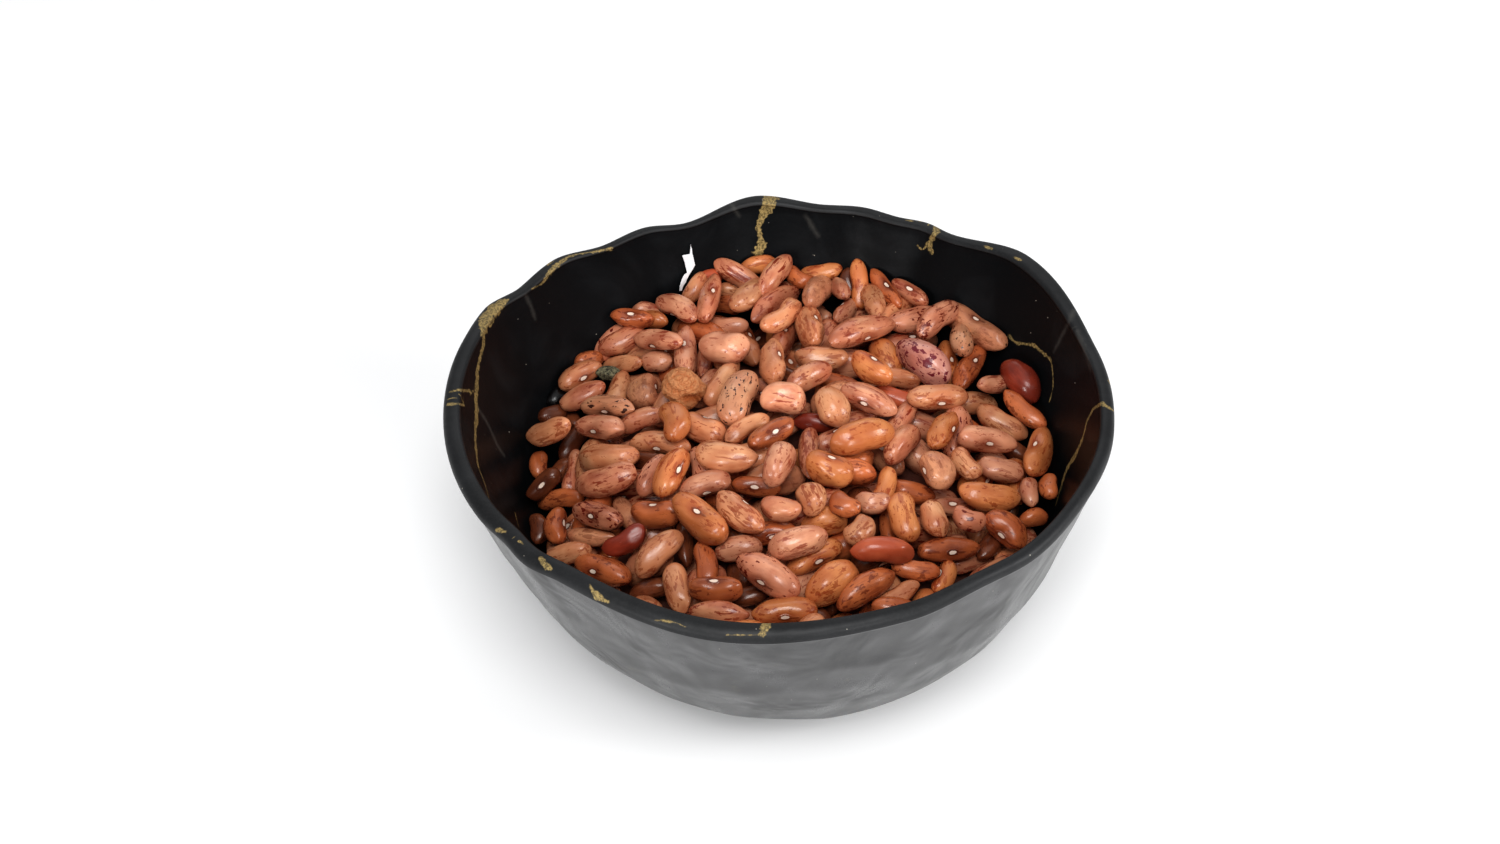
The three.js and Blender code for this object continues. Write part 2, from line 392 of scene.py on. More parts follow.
def bowl_rings():
    """The closed profile from the underside to the inside floor, and the length of the outside wall.

    Each row holds a radius, a height and the way up the outside wall, or -1 away from it.
    """
    deep = FOOT_RECESS["depth"]
    rows = [(radius, deep, -1) for radius in (7, 14, 20, 24, FOOT_RECESS["radius"])]
    for turn in quarter(3):
        radius = FOOT_RECESS["radius"] + FOOT_RECESS["bevel"] * math.sin(turn)
        rows.append((radius, deep * math.cos(turn) ** 1.5, -1))
    rows.append((FOOT_RING, 0, -1))
    outside, length = evenly(outer_wall, OUTSIDE_ROWS)
    rows += [(r, h, k / (OUTSIDE_ROWS - 1)) for k, (r, h) in enumerate(outside)]
    top = RIM_HEIGHT - LIP["height"] + LIP["undercut"]
    for turn in quarter(4):
        radius = mix(RIM_RADIUS - LIP["overhang"], RIM_RADIUS, math.sin(turn))
        rows.append((radius, mix(top, top - LIP["undercut"], math.cos(turn)) + UNDER_LIP, -1))
    inner = LIP["round"]
    for centre, start, wide, tall in ((RIM_RADIUS - ROLL[0], 0, *ROLL),
                                      (RIM_RADIUS - LIP["thickness"] + inner, 90, inner, inner)):
        for k in range(CORNER_ROWS):
            turn = math.radians(start + 90 * k / (CORNER_ROWS - 1))
            rows.append((centre + wide * math.cos(turn), RIM_HEIGHT - tall + tall * math.sin(turn), -1))
    inside, _ = evenly(inner_wall, INSIDE_ROWS)
    rows += [(r, h, -1) for r, h in inside[::-1][1:]]
    rows += [(r, FLOOR["height"], -1) for r in (24, 16, 8)]
    return np.array(rows), length


def make_bowl():
    rings, length = bowl_rings()
    angle = np.broadcast_to(TURN * np.arange(BOWL_SIDES) / BOWL_SIDES, (len(rings), BOWL_SIDES))
    radius, height = shaped(rings[:, :1], rings[:, 1:2], angle)
    share = rings[:, 2:3]
    marked = smooth(np.clip(np.minimum(3 * share, 5 * (1 - share)), 0, 1))
    marks = marked * hammered(angle, rings[:, :1] + 0 * angle, share * length + 0 * angle, length)
    radius = radius + np.where(share >= 0, marks, 0)
    points = np.stack([radius * np.cos(angle), radius * np.sin(angle), height], -1).reshape(-1, 3)
    low, high = (np.array(corner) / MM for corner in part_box("bowl"))
    points = np.clip(points, low, high)
    points = np.concatenate([points, [[0, 0, FOOT_RECESS["depth"]], [0, 0, FLOOR["height"]]]])
    piece = new_piece("bowl_shell", points, *net_faces(len(rings), BOWL_SIDES))
    lip_from = len(rings) - INSIDE_ROWS - 2 - 2 * CORNER_ROWS - 4
    row = np.arange(len(rings))
    side = np.where(row < lip_from, 1.0, np.where(row < lip_from + 2 * CORNER_ROWS + 3, ON_LIP, 0.0))
    keep_numbers(piece, "outside", np.append(np.repeat(side, BOWL_SIDES), [1, 0]))
    return piece


# Gold veins and grey lines of the marbling, each a run of (picture x, picture y, half width in millimetres).
GOLD_SEEN = {
    "back_middle": [(771, 196, 2.6), (769, 204, 2.2), (764, 214, 1.5), (760, 221, 1.1), (758, 228, 0.8),
                    (761, 236, 0.9), (762, 243, 1.3), (759, 252, 2.3)],
    "back_right": [(937, 225, 1.6), (936, 232, 1.2), (931, 239, 1.0), (929, 246, 0.9), (932, 253, 0.6)],
    "back_right_crumb": [(917, 245, 0.3), (921, 249, 0.3)],
    "back_right_lip": [(905, 220, 0.6), (912, 221, 0.5)],
    "right_faint": [(985, 246, 0.5), (992, 249, 0.4)],
    "right_faint_2": [(1014, 257, 0.4), (1021, 260, 0.4)],
    "right_inside": [(1009, 336, 0.6), (1017, 344, 0.5), (1026, 344, 0.4), (1034, 345, 0.5),
                     (1042, 352, 0.6), (1051, 360, 0.4), (1053, 374, 0.3), (1053, 388, 0.3),
                     (1049, 403, 0.3)],
    "right_wall": [(1113, 410, 0.5), (1101, 404, 0.7), (1093, 409, 0.7), (1087, 421, 0.8), (1082, 440, 0.9),
                   (1075, 456, 1.3), (1066, 470, 1.0), (1061, 487, 0.8), (1056, 504, 0.6)],
    "left_rim": [(613, 247, 0.2), (593, 252, 0.35), (577, 254, 0.4), (565, 258, 0.7), (557, 265, 0.9),
                 (549, 273, 0.8), (543, 283, 0.5), (532, 289, 0.3)],
    "left_rim_top": [(596, 251, 0.4), (612, 249, 0.4)],
    "left_patch": [(505, 300, 1.6), (495, 308, 2.6), (487, 318, 2.9), (483, 330, 1.8), (484, 345, 0.8),
                   (478, 364, 1.0), (477, 384, 1.1), (476, 402, 1.4), (477, 416, 1.7), (475, 430, 0.9),
                   (476, 450, 1.0), (478, 466, 0.8), (484, 481, 0.5), (489, 498, 0.3)],
    "left_low_spot": [(515, 513, 0.5), (519, 528, 0.4)],
    "left_lip_upper": [(450, 392, 0.6), (459, 390, 0.6), (470, 391, 0.5)],
    "left_lip_lower": [(448, 404, 0.6), (456, 404, 0.4), (464, 405, 0.4)],
    "front_left_lip": [(497, 530, 0.8), (505, 532, 0.5)],
    "front_left_spot": [(519, 541, 0.4), (523, 544, 0.3)],
    "front_left_edge": [(541, 558, 0.7), (545, 565, 1.0), (551, 569, 0.6)],
    "front_left_patch": [(590, 585, 0.3), (594, 592, 1.0), (598, 597, 1.1), (603, 600, 0.8), (609, 602, 0.4)],
    "front_squiggle": [(654, 620, 0.1), (668, 621, 0.35), (677, 623, 0.15), (688, 628, 0.05)],
    "front_dots": [(726, 635, 0.05), (741, 635, 0.1), (757, 635, 0.05)],
    "front_block": [(767, 623, 1.3), (764, 629, 1.2), (762, 634, 1.0)],
}
GREY_SEEN = {
    "left_branch": [(478, 408, 0.4), (489, 426, 0.4), (498, 447, 0.5), (504, 455, 0.3)],
    "left_fold": [(526, 296, 0.4), (531, 306, 0.5), (535, 318, 0.3)],
    "back_faint": [(806, 216, 0.3), (811, 224, 0.5), (818, 236, 0.3)],
    "back_faint_left": [(729, 200, 0.3), (733, 207, 0.4), (739, 216, 0.2)],
    "right_fold": [(1074, 311, 0.5), (1068, 324, 0.4), (1054, 351, 0.3)],
    "right_fold_2": [(1077, 331, 0.4), (1083, 347, 0.5), (1091, 370, 0.3)],
    "right_low": [(1003, 226, 0.2), (1022, 248, 0.3), (1040, 262, 0.2)],
}
# Veins on the side that the reference view doesn't show, each a run of (degrees round, height, half width).
GOLD_UNSEEN = {
    "behind_middle": [(91, 64, 2.0), (92, 55, 1.4), (90, 44, 1.0), (93, 33, 0.8), (91, 24, 0.4)],
    "behind_right": [(62, 63, 1.4), (60, 52, 1.0), (63, 40, 0.6), (58, 30, 0.4)],
    "behind_left": [(139, 63, 1.5), (143, 53, 1.0), (148, 43, 0.8), (146, 30, 0.5)],
    "left_outside": [(176, 62, 1.2), (179, 50, 0.8), (184, 38, 0.6)],
    "right_outside": [(4, 63, 0.9), (2, 52, 0.8), (5, 40, 0.5), (1, 30, 0.3)],
}
VEIN_REACH = 4.0
VEIN_GAP = 12


def vein_points(tree, runs, outside=False):
    """Follows each run over the bowl: its points, their half widths, and which join the one before."""
    places, widths, joined = [], [], []
    for run in runs.values():
        first = True
        for (x0, y0, w0), (x1, y1, w1) in zip(run, run[1:]):
            steps = max(2, int(math.hypot(x1 - x0, y1 - y0) / 3))
            for t in np.arange(steps + 1) / steps:
                x, y = mix(x0, x1, t), mix(y0, y1, t)
                if outside:
                    out = np.array([math.cos(math.radians(x)), math.sin(math.radians(x)), 0])
                    start, way = out * 200 + np.array([0, 0, y]), -out
                else:
                    start, way = EYE, ray(x, y)
                hit = tree.ray_cast(Vector(start * MM), Vector(way))[0]
                if hit is None:
                    first = True
                    continue
                places.append(np.array(hit) / MM)
                widths.append(mix(w0, w1, t))
                joined.append(not first)
                first = False
    return np.array(places), np.array(widths), np.array(joined)


def keep_veins(piece, name, networks):
    """Stores on each vertex the offset from the nearest vein, and that vein's distance and half width."""
    points = np.empty(len(piece.data.vertices) * 3)
    piece.data.vertices.foreach_get("co", points)
    points = points.reshape(-1, 3) / MM
    offset = np.full((len(points), 3), VEIN_REACH * 2)
    away = np.full(len(points), VEIN_REACH * 2)
    half = np.zeros(len(points))
    for places, widths, joined in networks:
        for k in range(1, len(places)):
            a, b = places[k - 1], places[k]
            if not joined[k] or np.linalg.norm(b - a) > VEIN_GAP:
                continue
            near = np.nonzero(np.abs(points - (a + b) / 2).max(1) < VEIN_REACH + 7)[0]
            if not len(near):
                continue
            p, line = points[near], b - a
            t = np.clip((p - a) @ line / max(line @ line, 1e-9), 0, 1)
            gap = p - (a + t[:, None] * line)
            far = np.linalg.norm(gap, axis=1)
            closer = far < away[near]
            pick = near[closer]
            offset[pick], away[pick] = gap[closer], far[closer]
            half[pick] = mix(widths[k - 1], widths[k], t[closer])
    keep_vectors(piece, name, offset)
    keep_vectors(piece, name + "_size", np.stack([away, half, 0 * half], -1))


def vein_depth(s, name, place):
    """How far inside a vein a point lies, in millimetres, from what keep_veins stored."""
    away, half, _ = s.parts(s.attribute(name + "_size"))
    apart = s.math("MAXIMUM", s.length(s.attribute(name)), away - 1.4)
    half = half * (1.5 * s.noise(place, 0.45, 2) - 0.05)
    ragged = 0.55 * (1.5 * s.noise(place, 0.9, 5, 0.65) - 0.72)
    return half - apart + ragged


def bowl_material():
    s = Shader("marbled_black")
    place = s.place()
    outside = s.attribute("outside", "Fac")
    grain = s.noise(place, 1.8, 3, 0.7)
    cloud = s.between(s.noise(place, 0.035, 4, 0.6, twist=1.5), 0.42, 0.7)
    black = s.blend(cloud, srgb(13, 15, 17), srgb(24, 26, 28))
    black = s.blend(s.between(grain, 0.45, 0.75, 0.0, 0.3), black, srgb(24, 24, 25))
    # Outside: wear and brushed streaks, partly painted reflection of the pale floor that lightens the outer
    # wall.
    brushed_and_painted_reflection = s.noise(s.stretched(place, 1, 1, 0.5), 0.085, 2.5, 0.5, twist=0.5)
    brushed_and_painted_reflection = s.between(brushed_and_painted_reflection, 0.34, 0.66)
    wear_and_painted_reflection = s.blend(brushed_and_painted_reflection, srgb(14, 14, 15), srgb(29, 29, 31))
    wear_and_painted_reflection = s.blend(s.between(grain, 0.4, 0.8, 0.0, 0.5), wear_and_painted_reflection, srgb(56, 56, 57))
    colour = s.blend(outside, black, wear_and_painted_reflection)
    olive_spots = s.between(s.noise(place, 0.09, 5, 0.7), 0.64, 0.74, 0.0, 0.25)
    colour = s.blend(olive_spots * outside, colour, srgb(92, 86, 58))
    grey = s.between(vein_depth(s, "grey", place), -0.9, 0.6, 0.0, 0.1)
    colour = s.blend(grey, colour, srgb(150, 146, 138))
    flakes = s.between(s.noise(place, 1.7, 5, 0.75), 0.42, 0.56)
    gold = s.between(vein_depth(s, "gold", place), -0.15, 0.2) * (0.3 + 0.7 * flakes)
    gold_colour = s.blend(s.noise(place, 1.1, 4, 0.6), srgb(104, 88, 54), srgb(196, 172, 116))
    colour = s.blend(gold, colour, gold_colour)
    dust = s.between(s.cells(place, 0.33), 0.055, 0.03) * s.between(s.noise(place, 0.2, 2), 0.5, 0.6)
    colour = s.blend(dust, colour, srgb(176, 170, 158))
    on_lip = outside * (1.0 - outside)
    rough = 0.26 + 0.14 * grain + 0.1 * gold + 0.75 * on_lip + 0.1 * outside * (0.5 - brushed_and_painted_reflection)
    dents = outside * s.noise(s.stretched(place, 1, 1, 0.7), 0.075, 2, 0.5, twist=0.5)
    fine = 0.25 * grain + 0.9 * s.noise(place, 0.3, 3) + 0.5 * gold
    normal = s.bump(fine, 0.00008, 0.6, Normal=s.bump(dents, 0.0018, 0.8))
    return s.finish(Base_Color=colour, Metallic=0.5 * gold, Roughness=rough, IOR=1.2 + 0.55 * outside,
                    Normal=normal)


# ------------------------------------------------------------------------------------------------- the beans
# Each kind of bean: two shades of skin, the marks' colour, then how much is streaked, specked and blotched.
KINDS = {
    "tan": (srgb(214, 156, 115), srgb(192, 124, 87), srgb(136, 58, 30), 0.65, 0.55, 0.06),
    "pinkish": (srgb(218, 159, 125), srgb(190, 125, 95), srgb(132, 52, 34), 0.75, 0.55, 0.12),
    "speckled": (srgb(216, 152, 120), srgb(192, 120, 90), srgb(106, 34, 22), 0.60, 1.0, 0.1),
    "blotched": (srgb(196, 146, 130), srgb(176, 114, 98), srgb(104, 36, 44), 0.30, 0.9, 1.0),
    "streaked": (srgb(208, 147, 110), srgb(184, 113, 84), srgb(124, 44, 24), 1.0, 0.60, 0.18),
    "orange": (srgb(211, 140, 87), srgb(189, 112, 67), srgb(136, 48, 20), 0.50, 0.55, 0.06),
    "rust": (srgb(196, 114, 69), srgb(168, 90, 53), srgb(92, 32, 22), 0.50, 0.55, 0.15),
    "brick": (srgb(206, 108, 72), srgb(184, 88, 58), srgb(110, 34, 22), 0.20, 0.10, 0.0),
    "maroon": (srgb(152, 62, 42), srgb(118, 44, 30), srgb(62, 18, 14), 0.15, 0.05, 0.0),
    # This kind is brown beans, and also painted shade on beans that lie deep in the gaps.
    "brown": (srgb(127, 72, 46), srgb(97, 50, 30), srgb(56, 24, 18), 0.40, 0.30, 0.15),
    "olive": (srgb(211, 150, 111), srgb(183, 120, 89), srgb(108, 52, 36), 0.45, 0.35, 0.20),
    "cream": (srgb(204, 152, 117), srgb(188, 126, 93), srgb(66, 38, 30), 0.30, 1.0, 0.0),
    "black": (srgb(12, 9, 9), srgb(8, 6, 7), srgb(5, 4, 4), 0.10, 0.10, 0.0),
}


def bean(kind, level, x0, y0, x1, y1, wide=0, eye=None, tips=(0, 0), taper=0):
    """A bean as the picture shows it: its two ends, its width where it can be read, and its eye if it shows.

    Level 2 lies on top, level 1 half under others, and level 0 shows only in a gap. tips says how pointed
    each end is, and taper how much slimmer the second end is than the first.
    """
    return {"kind": kind, "level": level, "ends": ((x0, y0), (x1, y1)), "wide": wide, "eye": eye,
            "tips": tips, "taper": taper}


SEEN_BEANS = [bean(*row) for row in (
    # back left
    ("rust", 1, 613, 309, 651, 317, 19, (631, 308)), ("orange", 1, 636, 316, 665, 321, 17),
    ("pinkish", 0, 629, 307, 659, 310, 18), ("speckled", 0, 589, 356, 625, 323, 24),
    ("streaked", 1, 602, 350, 642, 328, 24), ("olive", 1, 617, 353, 652, 349, 20),
    ("pinkish", 2, 632, 335, 684, 343, 21, (652, 346)), ("pinkish", 2, 655, 299, 699, 312, 24, (669, 315)),
    ("brick", 0, 694, 277, 722, 271, 16), ("tan", 0, 704, 274, 684, 298, 16),
    ("streaked", 2, 713, 271, 704, 322, 21, (712, 292)), ("tan", 0, 718, 286, 742, 296, 18),
    ("rust", 0, 714, 304, 738, 307, 18), ("rust", 1, 677, 328, 705, 334, 25),
    ("pinkish", 1, 688, 343, 680, 376, 23, (683, 349)),
    # back middle
    ("streaked", 1, 721, 261, 756, 287, 22), ("tan", 2, 736, 306, 764, 279, 25),
    ("orange", 0, 741, 266, 775, 255, 20), ("streaked", 1, 763, 283, 790, 253, 21),
    ("rust", 0, 791, 266, 806, 285, 17), ("pinkish", 0, 770, 290, 802, 286, 18),
    ("streaked", 1, 751, 319, 800, 287, 25), ("tan", 2, 763, 330, 802, 301, 23),
    ("streaked", 1, 789, 320, 777, 356, 23, (789, 319)), ("tan", 0, 738, 328, 752, 358, 25, (753, 338)),
    ("pinkish", 1, 705, 326, 749, 328, 24), ("pinkish", 2, 698, 344, 750, 350, 33),
    ("tan", 2, 771, 340, 774, 384, 25, (781, 370)), ("tan", 2, 802, 306, 817, 347, 29, (818, 318)),
    ("pinkish", 0, 814, 307, 829, 322, 16), ("orange", 0, 803, 273, 842, 265, 17),
    ("olive", 1, 809, 305, 830, 268, 25), ("pinkish", 1, 838, 277, 844, 300, 16),
    # back right
    ("brown", 0, 850, 273, 852, 298, 13), ("orange", 0, 863, 265, 858, 300, 19),
    ("tan", 1, 869, 275, 874, 312, 22), ("rust", 0, 885, 268, 887, 305, 16, (887, 279)),
    ("streaked", 1, 895, 279, 926, 303, 19, (909, 285)), ("pinkish", 1, 834, 321, 858, 300, 18, (837, 306)),
    ("tan", 1, 884, 317, 912, 300, 17), ("streaked", 2, 828, 342, 894, 317, 28, (852, 345)),
    ("pinkish", 0, 846, 320, 872, 308, 20), ("speckled", 1, 893, 323, 935, 314, 24),
    ("speckled", 2, 916, 324, 962, 309, 26), ("olive", 1, 938, 299, 1007, 348, 27, (986, 320)),
    ("cream", 2, 969, 321, 960, 354, 25), ("pinkish", 0, 876, 348, 938, 342, 29, (878, 340)),
    ("blotched", 2, 898, 342, 948, 381, 37), ("orange", 1, 944, 343, 951, 386, 24, (952, 355)),
    # left
    ("tan", 2, 557, 384, 600, 361, 24, (588, 373)), ("rust", 0, 571, 362, 597, 354, 16),
    ("olive", 0, 561, 366, 558, 393, 13, (561, 367)), ("streaked", 2, 559, 408, 605, 384, 23),
    ("cream", 2, 582, 406, 636, 407, 21, (603, 413), (0, 1)), ("tan", 1, 617, 398, 626, 370, 23),
    ("tan", 0, 600, 366, 640, 365, 16), ("olive", 1, 644, 374, 644, 409, 31, (658, 382)),
    ("pinkish", 1, 641, 361, 672, 361, 21, None, (0, 0.8)), ("tan", 2, 523, 434, 571, 420, 26),
    ("brown", 0, 538, 417, 562, 411, 14), ("pinkish", 2, 577, 424, 625, 430, 24, (587, 431), (0, 0.8)),
    ("brown", 0, 567, 453, 584, 428, 20), ("streaked", 1, 620, 427, 664, 413, 21),
    ("tan", 1, 630, 441, 692, 446, 23, (656, 450)), ("black", 0, 549, 400, 555, 384, 14),
    ("brown", 0, 562, 414, 580, 424, 14),
    # middle
    ("pinkish", 0, 706, 351, 703, 379, 20), ("tan", 1, 706, 404, 736, 367, 24),
    ("cream", 2, 727, 423, 750, 371, 36), ("pinkish", 2, 760, 397, 806, 401, 33),
    ("brown", 0, 782, 372, 794, 380, 12), ("streaked", 2, 787, 389, 831, 365, 25),
    ("tan", 1, 793, 357, 849, 358, 27), ("orange", 2, 667, 402, 681, 440, 30),
    ("tan", 1, 683, 421, 724, 437, 30, (704, 413)), ("tan", 1, 725, 440, 768, 416, 19, (749, 437)),
    ("rust", 2, 749, 447, 793, 421, 23, (778, 430)), ("pinkish", 0, 784, 429, 802, 412, 18),
    ("streaked", 1, 809, 428, 810, 460, 22), ("tan", 2, 694, 453, 760, 460, 34, None, (0, 0.5), 0.16),
    ("orange", 2, 853, 355, 891, 382, 28, (873, 356)), ("tan", 1, 880, 378, 914, 379, 17),
    ("pinkish", 2, 842, 386, 897, 413, 26, (864, 404)), ("tan", 2, 824, 388, 842, 424, 33),
    ("rust", 0, 828, 380, 848, 386, 18), ("orange", 2, 829, 445, 895, 429, 34),
    ("streaked", 1, 886, 460, 918, 427, 26), ("brick", 0, 888, 394, 904, 400, 13),
    ("streaked", 1, 893, 430, 908, 410, 17), ("tan", 2, 907, 397, 968, 397, 25, (939, 404)),
    ("orange", 2, 932, 449, 954, 412, 26, (954, 430)), ("pinkish", 0, 838, 421, 868, 418, 13),
    ("maroon", 0, 808, 422, 824, 425, 14), ("brown", 0, 639, 460, 656, 463, 13),
    # right
    ("rust", 1, 961, 377, 985, 348, 23, (981, 353)), ("maroon", 1, 1003, 358, 1036, 397, 30),
    ("pinkish", 1, 973, 386, 1003, 382, 18), ("rust", 2, 1005, 388, 1045, 427, 22),
    ("tan", 0, 955, 402, 996, 409, 26), ("tan", 1, 977, 408, 1027, 438, 26),
    ("pinkish", 2, 956, 435, 1016, 445, 26, (988, 444)), ("orange", 2, 1027, 471, 1051, 431, 27, (1033, 443)),
    ("brown", 0, 1008, 446, 1026, 457, 17),
    # left of the front
    ("rust", 1, 539, 452, 540, 478, 17), ("brown", 1, 528, 500, 559, 470, 20, (545, 482)),
    ("brown", 0, 553, 480, 566, 463, 14), ("streaked", 0, 568, 489, 578, 457, 18),
    ("tan", 2, 578, 458, 638, 458, 30), ("streaked", 2, 576, 489, 637, 470, 30),
    ("orange", 2, 659, 498, 682, 449, 29, (679, 470)), ("speckled", 1, 640, 496, 656, 470, 24),
    ("rust", 0, 543, 502, 578, 497, 20), ("speckled", 2, 575, 507, 623, 525, 25, (589, 516)),
    ("rust", 2, 557, 508, 556, 545, 24, (566, 524)), ("brown", 0, 538, 514, 530, 548, 17),
    ("olive", 1, 566, 534, 613, 539, 17), ("maroon", 2, 602, 553, 646, 529, 24),
    ("olive", 0, 615, 498, 634, 522, 14), ("rust", 1, 632, 512, 676, 515, 28, (643, 503)),
    ("tan", 2, 543, 564, 591, 548, 24), ("rust", 1, 577, 562, 630, 578, 28, (600, 573)),
    ("tan", 2, 636, 575, 681, 531, 30), ("brown", 0, 684, 528, 686, 557, 16),
    ("brown", 0, 628, 597, 662, 587, 20), ("tan", 0, 630, 604, 664, 611, 14),
    ("pinkish", 0, 596, 587, 620, 598, 10), ("tan", 2, 672, 563, 684, 613, 28),
    # middle of the front
    ("pinkish", 2, 768, 484, 789, 444, 30), ("pinkish", 1, 679, 492, 731, 477, 25, (700, 496)),
    ("rust", 1, 733, 484, 779, 488, 20, (745, 486)), ("orange", 2, 674, 501, 728, 538, 34, (696, 510)),
    ("tan", 2, 716, 494, 763, 532, 31, (747, 498)), ("streaked", 2, 760, 503, 801, 513, 25),
    ("tan", 2, 803, 484, 818, 514, 31), ("orange", 2, 806, 459, 853, 479, 33, (836, 458)),
    ("rust", 0, 745, 536, 798, 530, 24, (768, 538)), ("orange", 1, 806, 526, 842, 520, 30),
    ("rust", 1, 850, 472, 877, 474, 27), ("orange", 1, 882, 494, 891, 466, 19),
    ("rust", 2, 831, 496, 859, 513, 25), ("pinkish", 2, 858, 500, 888, 503, 25),
    ("rust", 1, 702, 543, 708, 586, 24), ("pinkish", 1, 715, 552, 761, 546, 27),
    ("speckled", 2, 737, 558, 800, 593, 35, (762, 584)), ("pinkish", 2, 769, 553, 827, 532, 31),
    ("orange", 1, 786, 570, 842, 545, 24, (813, 565)), ("rust", 2, 687, 590, 744, 588, 26, (708, 580)),
    ("streaked", 2, 688, 611, 750, 614, 23), ("orange", 2, 751, 612, 818, 610, 26, (776, 618)),
    ("brown", 0, 732, 600, 768, 590, 20), ("brown", 0, 808, 616, 832, 618, 10),
    # right of the front
    ("orange", 2, 899, 491, 909, 542, 30), ("rust", 0, 888, 508, 892, 545, 16),
    ("tan", 2, 928, 498, 941, 538, 27, None, (0, 0.6)), ("rust", 0, 893, 488, 930, 496, 22),
    ("olive", 2, 928, 452, 946, 489, 32, (921, 466)), ("tan", 2, 953, 449, 979, 478, 23),
    ("speckled", 2, 953, 512, 985, 525, 25), ("pinkish", 0, 938, 506, 962, 507, 12, (946, 504)),
    ("tan", 2, 851, 541, 869, 519, 28), ("pinkish", 2, 979, 463, 1023, 476, 24),
    ("orange", 2, 959, 491, 1021, 501, 28), ("pinkish", 2, 1029, 477, 1031, 507, 20),
    ("rust", 1, 1050, 474, 1049, 497, 15), ("rust", 2, 987, 513, 1026, 545, 30, (1005, 540)),
    ("rust", 1, 1024, 520, 1044, 517, 18), ("brick", 2, 850, 549, 917, 553, 26, None, (0.7, 1)),
    ("rust", 1, 915, 552, 980, 547, 25, (946, 553)), ("orange", 2, 806, 600, 859, 566, 35),
    ("rust", 2, 836, 606, 895, 571, 29), ("tan", 1, 873, 608, 920, 584, 20),
    ("rust", 1, 900, 566, 940, 575, 20), ("orange", 1, 938, 594, 950, 562, 20, (934, 584)),
    ("brown", 1, 980, 560, 997, 534, 22), ("pinkish", 0, 957, 566, 986, 558, 12),
    ("tan", 0, 998, 560, 1018, 550, 9),
)]

# How a seen bean's picture turns into a bean: pixels for the common width, millimetres for the rest.
COMMON_SEEN_WIDTH = 28
COMMON_LENGTH = 14.5
HEAP_DISTANCE = 545
BEAN_LENGTH = (8.5, 24)
BEAN_WIDTH = (5.2, 9.6)
WALL_CLEAR = 6.5
LEVEL_DEPTH = {2: 0.9, 1: 4.0, 0: 7.6}
SEEN_DETAIL = (34, 26)
EYE_HALF = (1.05, 0.5)

# The beans that the picture doesn't show.
# The brown kind among these is painted shade for the beans deep in the gaps.
FILL_KINDS = ["tan", "tan", "pinkish", "orange", "rust", "streaked", "speckled", "pinkish", "brown", "olive"]
FILL_DEPTHS = (1.2, 4.6, 6.2, 8.2, 10.2, 12.4, 14.5)
FILL_TRIES = 620
FILL_RADIUS = 68
FILL_DETAIL = (24, 18)
FILL_OVERLAP = {"wall": 0.8, "bean": 1.3}
UNSEEN_FROM = 5
CORE_DEPTH = 13.5
CORE_GAP = 1.2
CORE_LIFT = 0.3
CORE_SIDES = 96
CORE_RINGS = 26

# A bean as five balls in a row, for pushing beans apart.
CHAIN = np.array([-1.0, -0.52, 0.0, 0.52, 1.0])
CHAIN_GIRTH = np.array([0.74, 0.95, 1.0, 0.95, 0.74])
SETTLE_ROUNDS = 170
# How freely a bean moves aside, moves along the line of sight, and turns: one that no picture shows, and then
# the seen ones of level 0, 1 and 2.
FREEDOM = [(1.0, 0.3, 0.2, 0.1), (1.0, 1.0, 0.7, 0.3), (1.0, 0.3, 0.15, 0.06)]


def unit(v):
    return v / max(np.linalg.norm(v), 1e-9)


def axes_from(along, back):
    """Bean axes as columns: along its length, towards its rounded back, and across its flat side."""
    x = unit(along)
    y = unit(back - x * (back @ x))
    return np.stack([x, y, np.cross(x, y)], -1)


def under_another(spot, level):
    """Whether a point of the picture lies on a seen bean of a higher level."""
    for other in SEEN_BEANS:
        if other["level"] > level:
            a, b = np.array(other["ends"], float)
            t = np.clip((spot - a) @ (b - a) / max((b - a) @ (b - a), 1), 0.1, 0.9)
            if np.linalg.norm(spot - (a + t * (b - a))) < (other["wide"] or COMMON_SEEN_WIDTH) / 2 + 3:
                return True
    return False


def whole_ends(seen):
    """A bean's two ends in the picture: one that goes under another bean is carried on to a common length."""
    a, b = np.array(seen["ends"], float)
    missing = 0.85 * COMMON_LENGTH * FOCAL / HEAP_DISTANCE - np.linalg.norm(b - a)
    if seen["level"] < 2 and missing > 0:
        way = (b - a) / max(np.linalg.norm(b - a), 1)
        hidden = [under_another(end, seen["level"]) for end in (a, b)]
        if any(hidden):
            a = a - way * missing * hidden[0] / sum(hidden)
            b = b + way * missing * hidden[1] / sum(hidden)
    return (*a, *b)


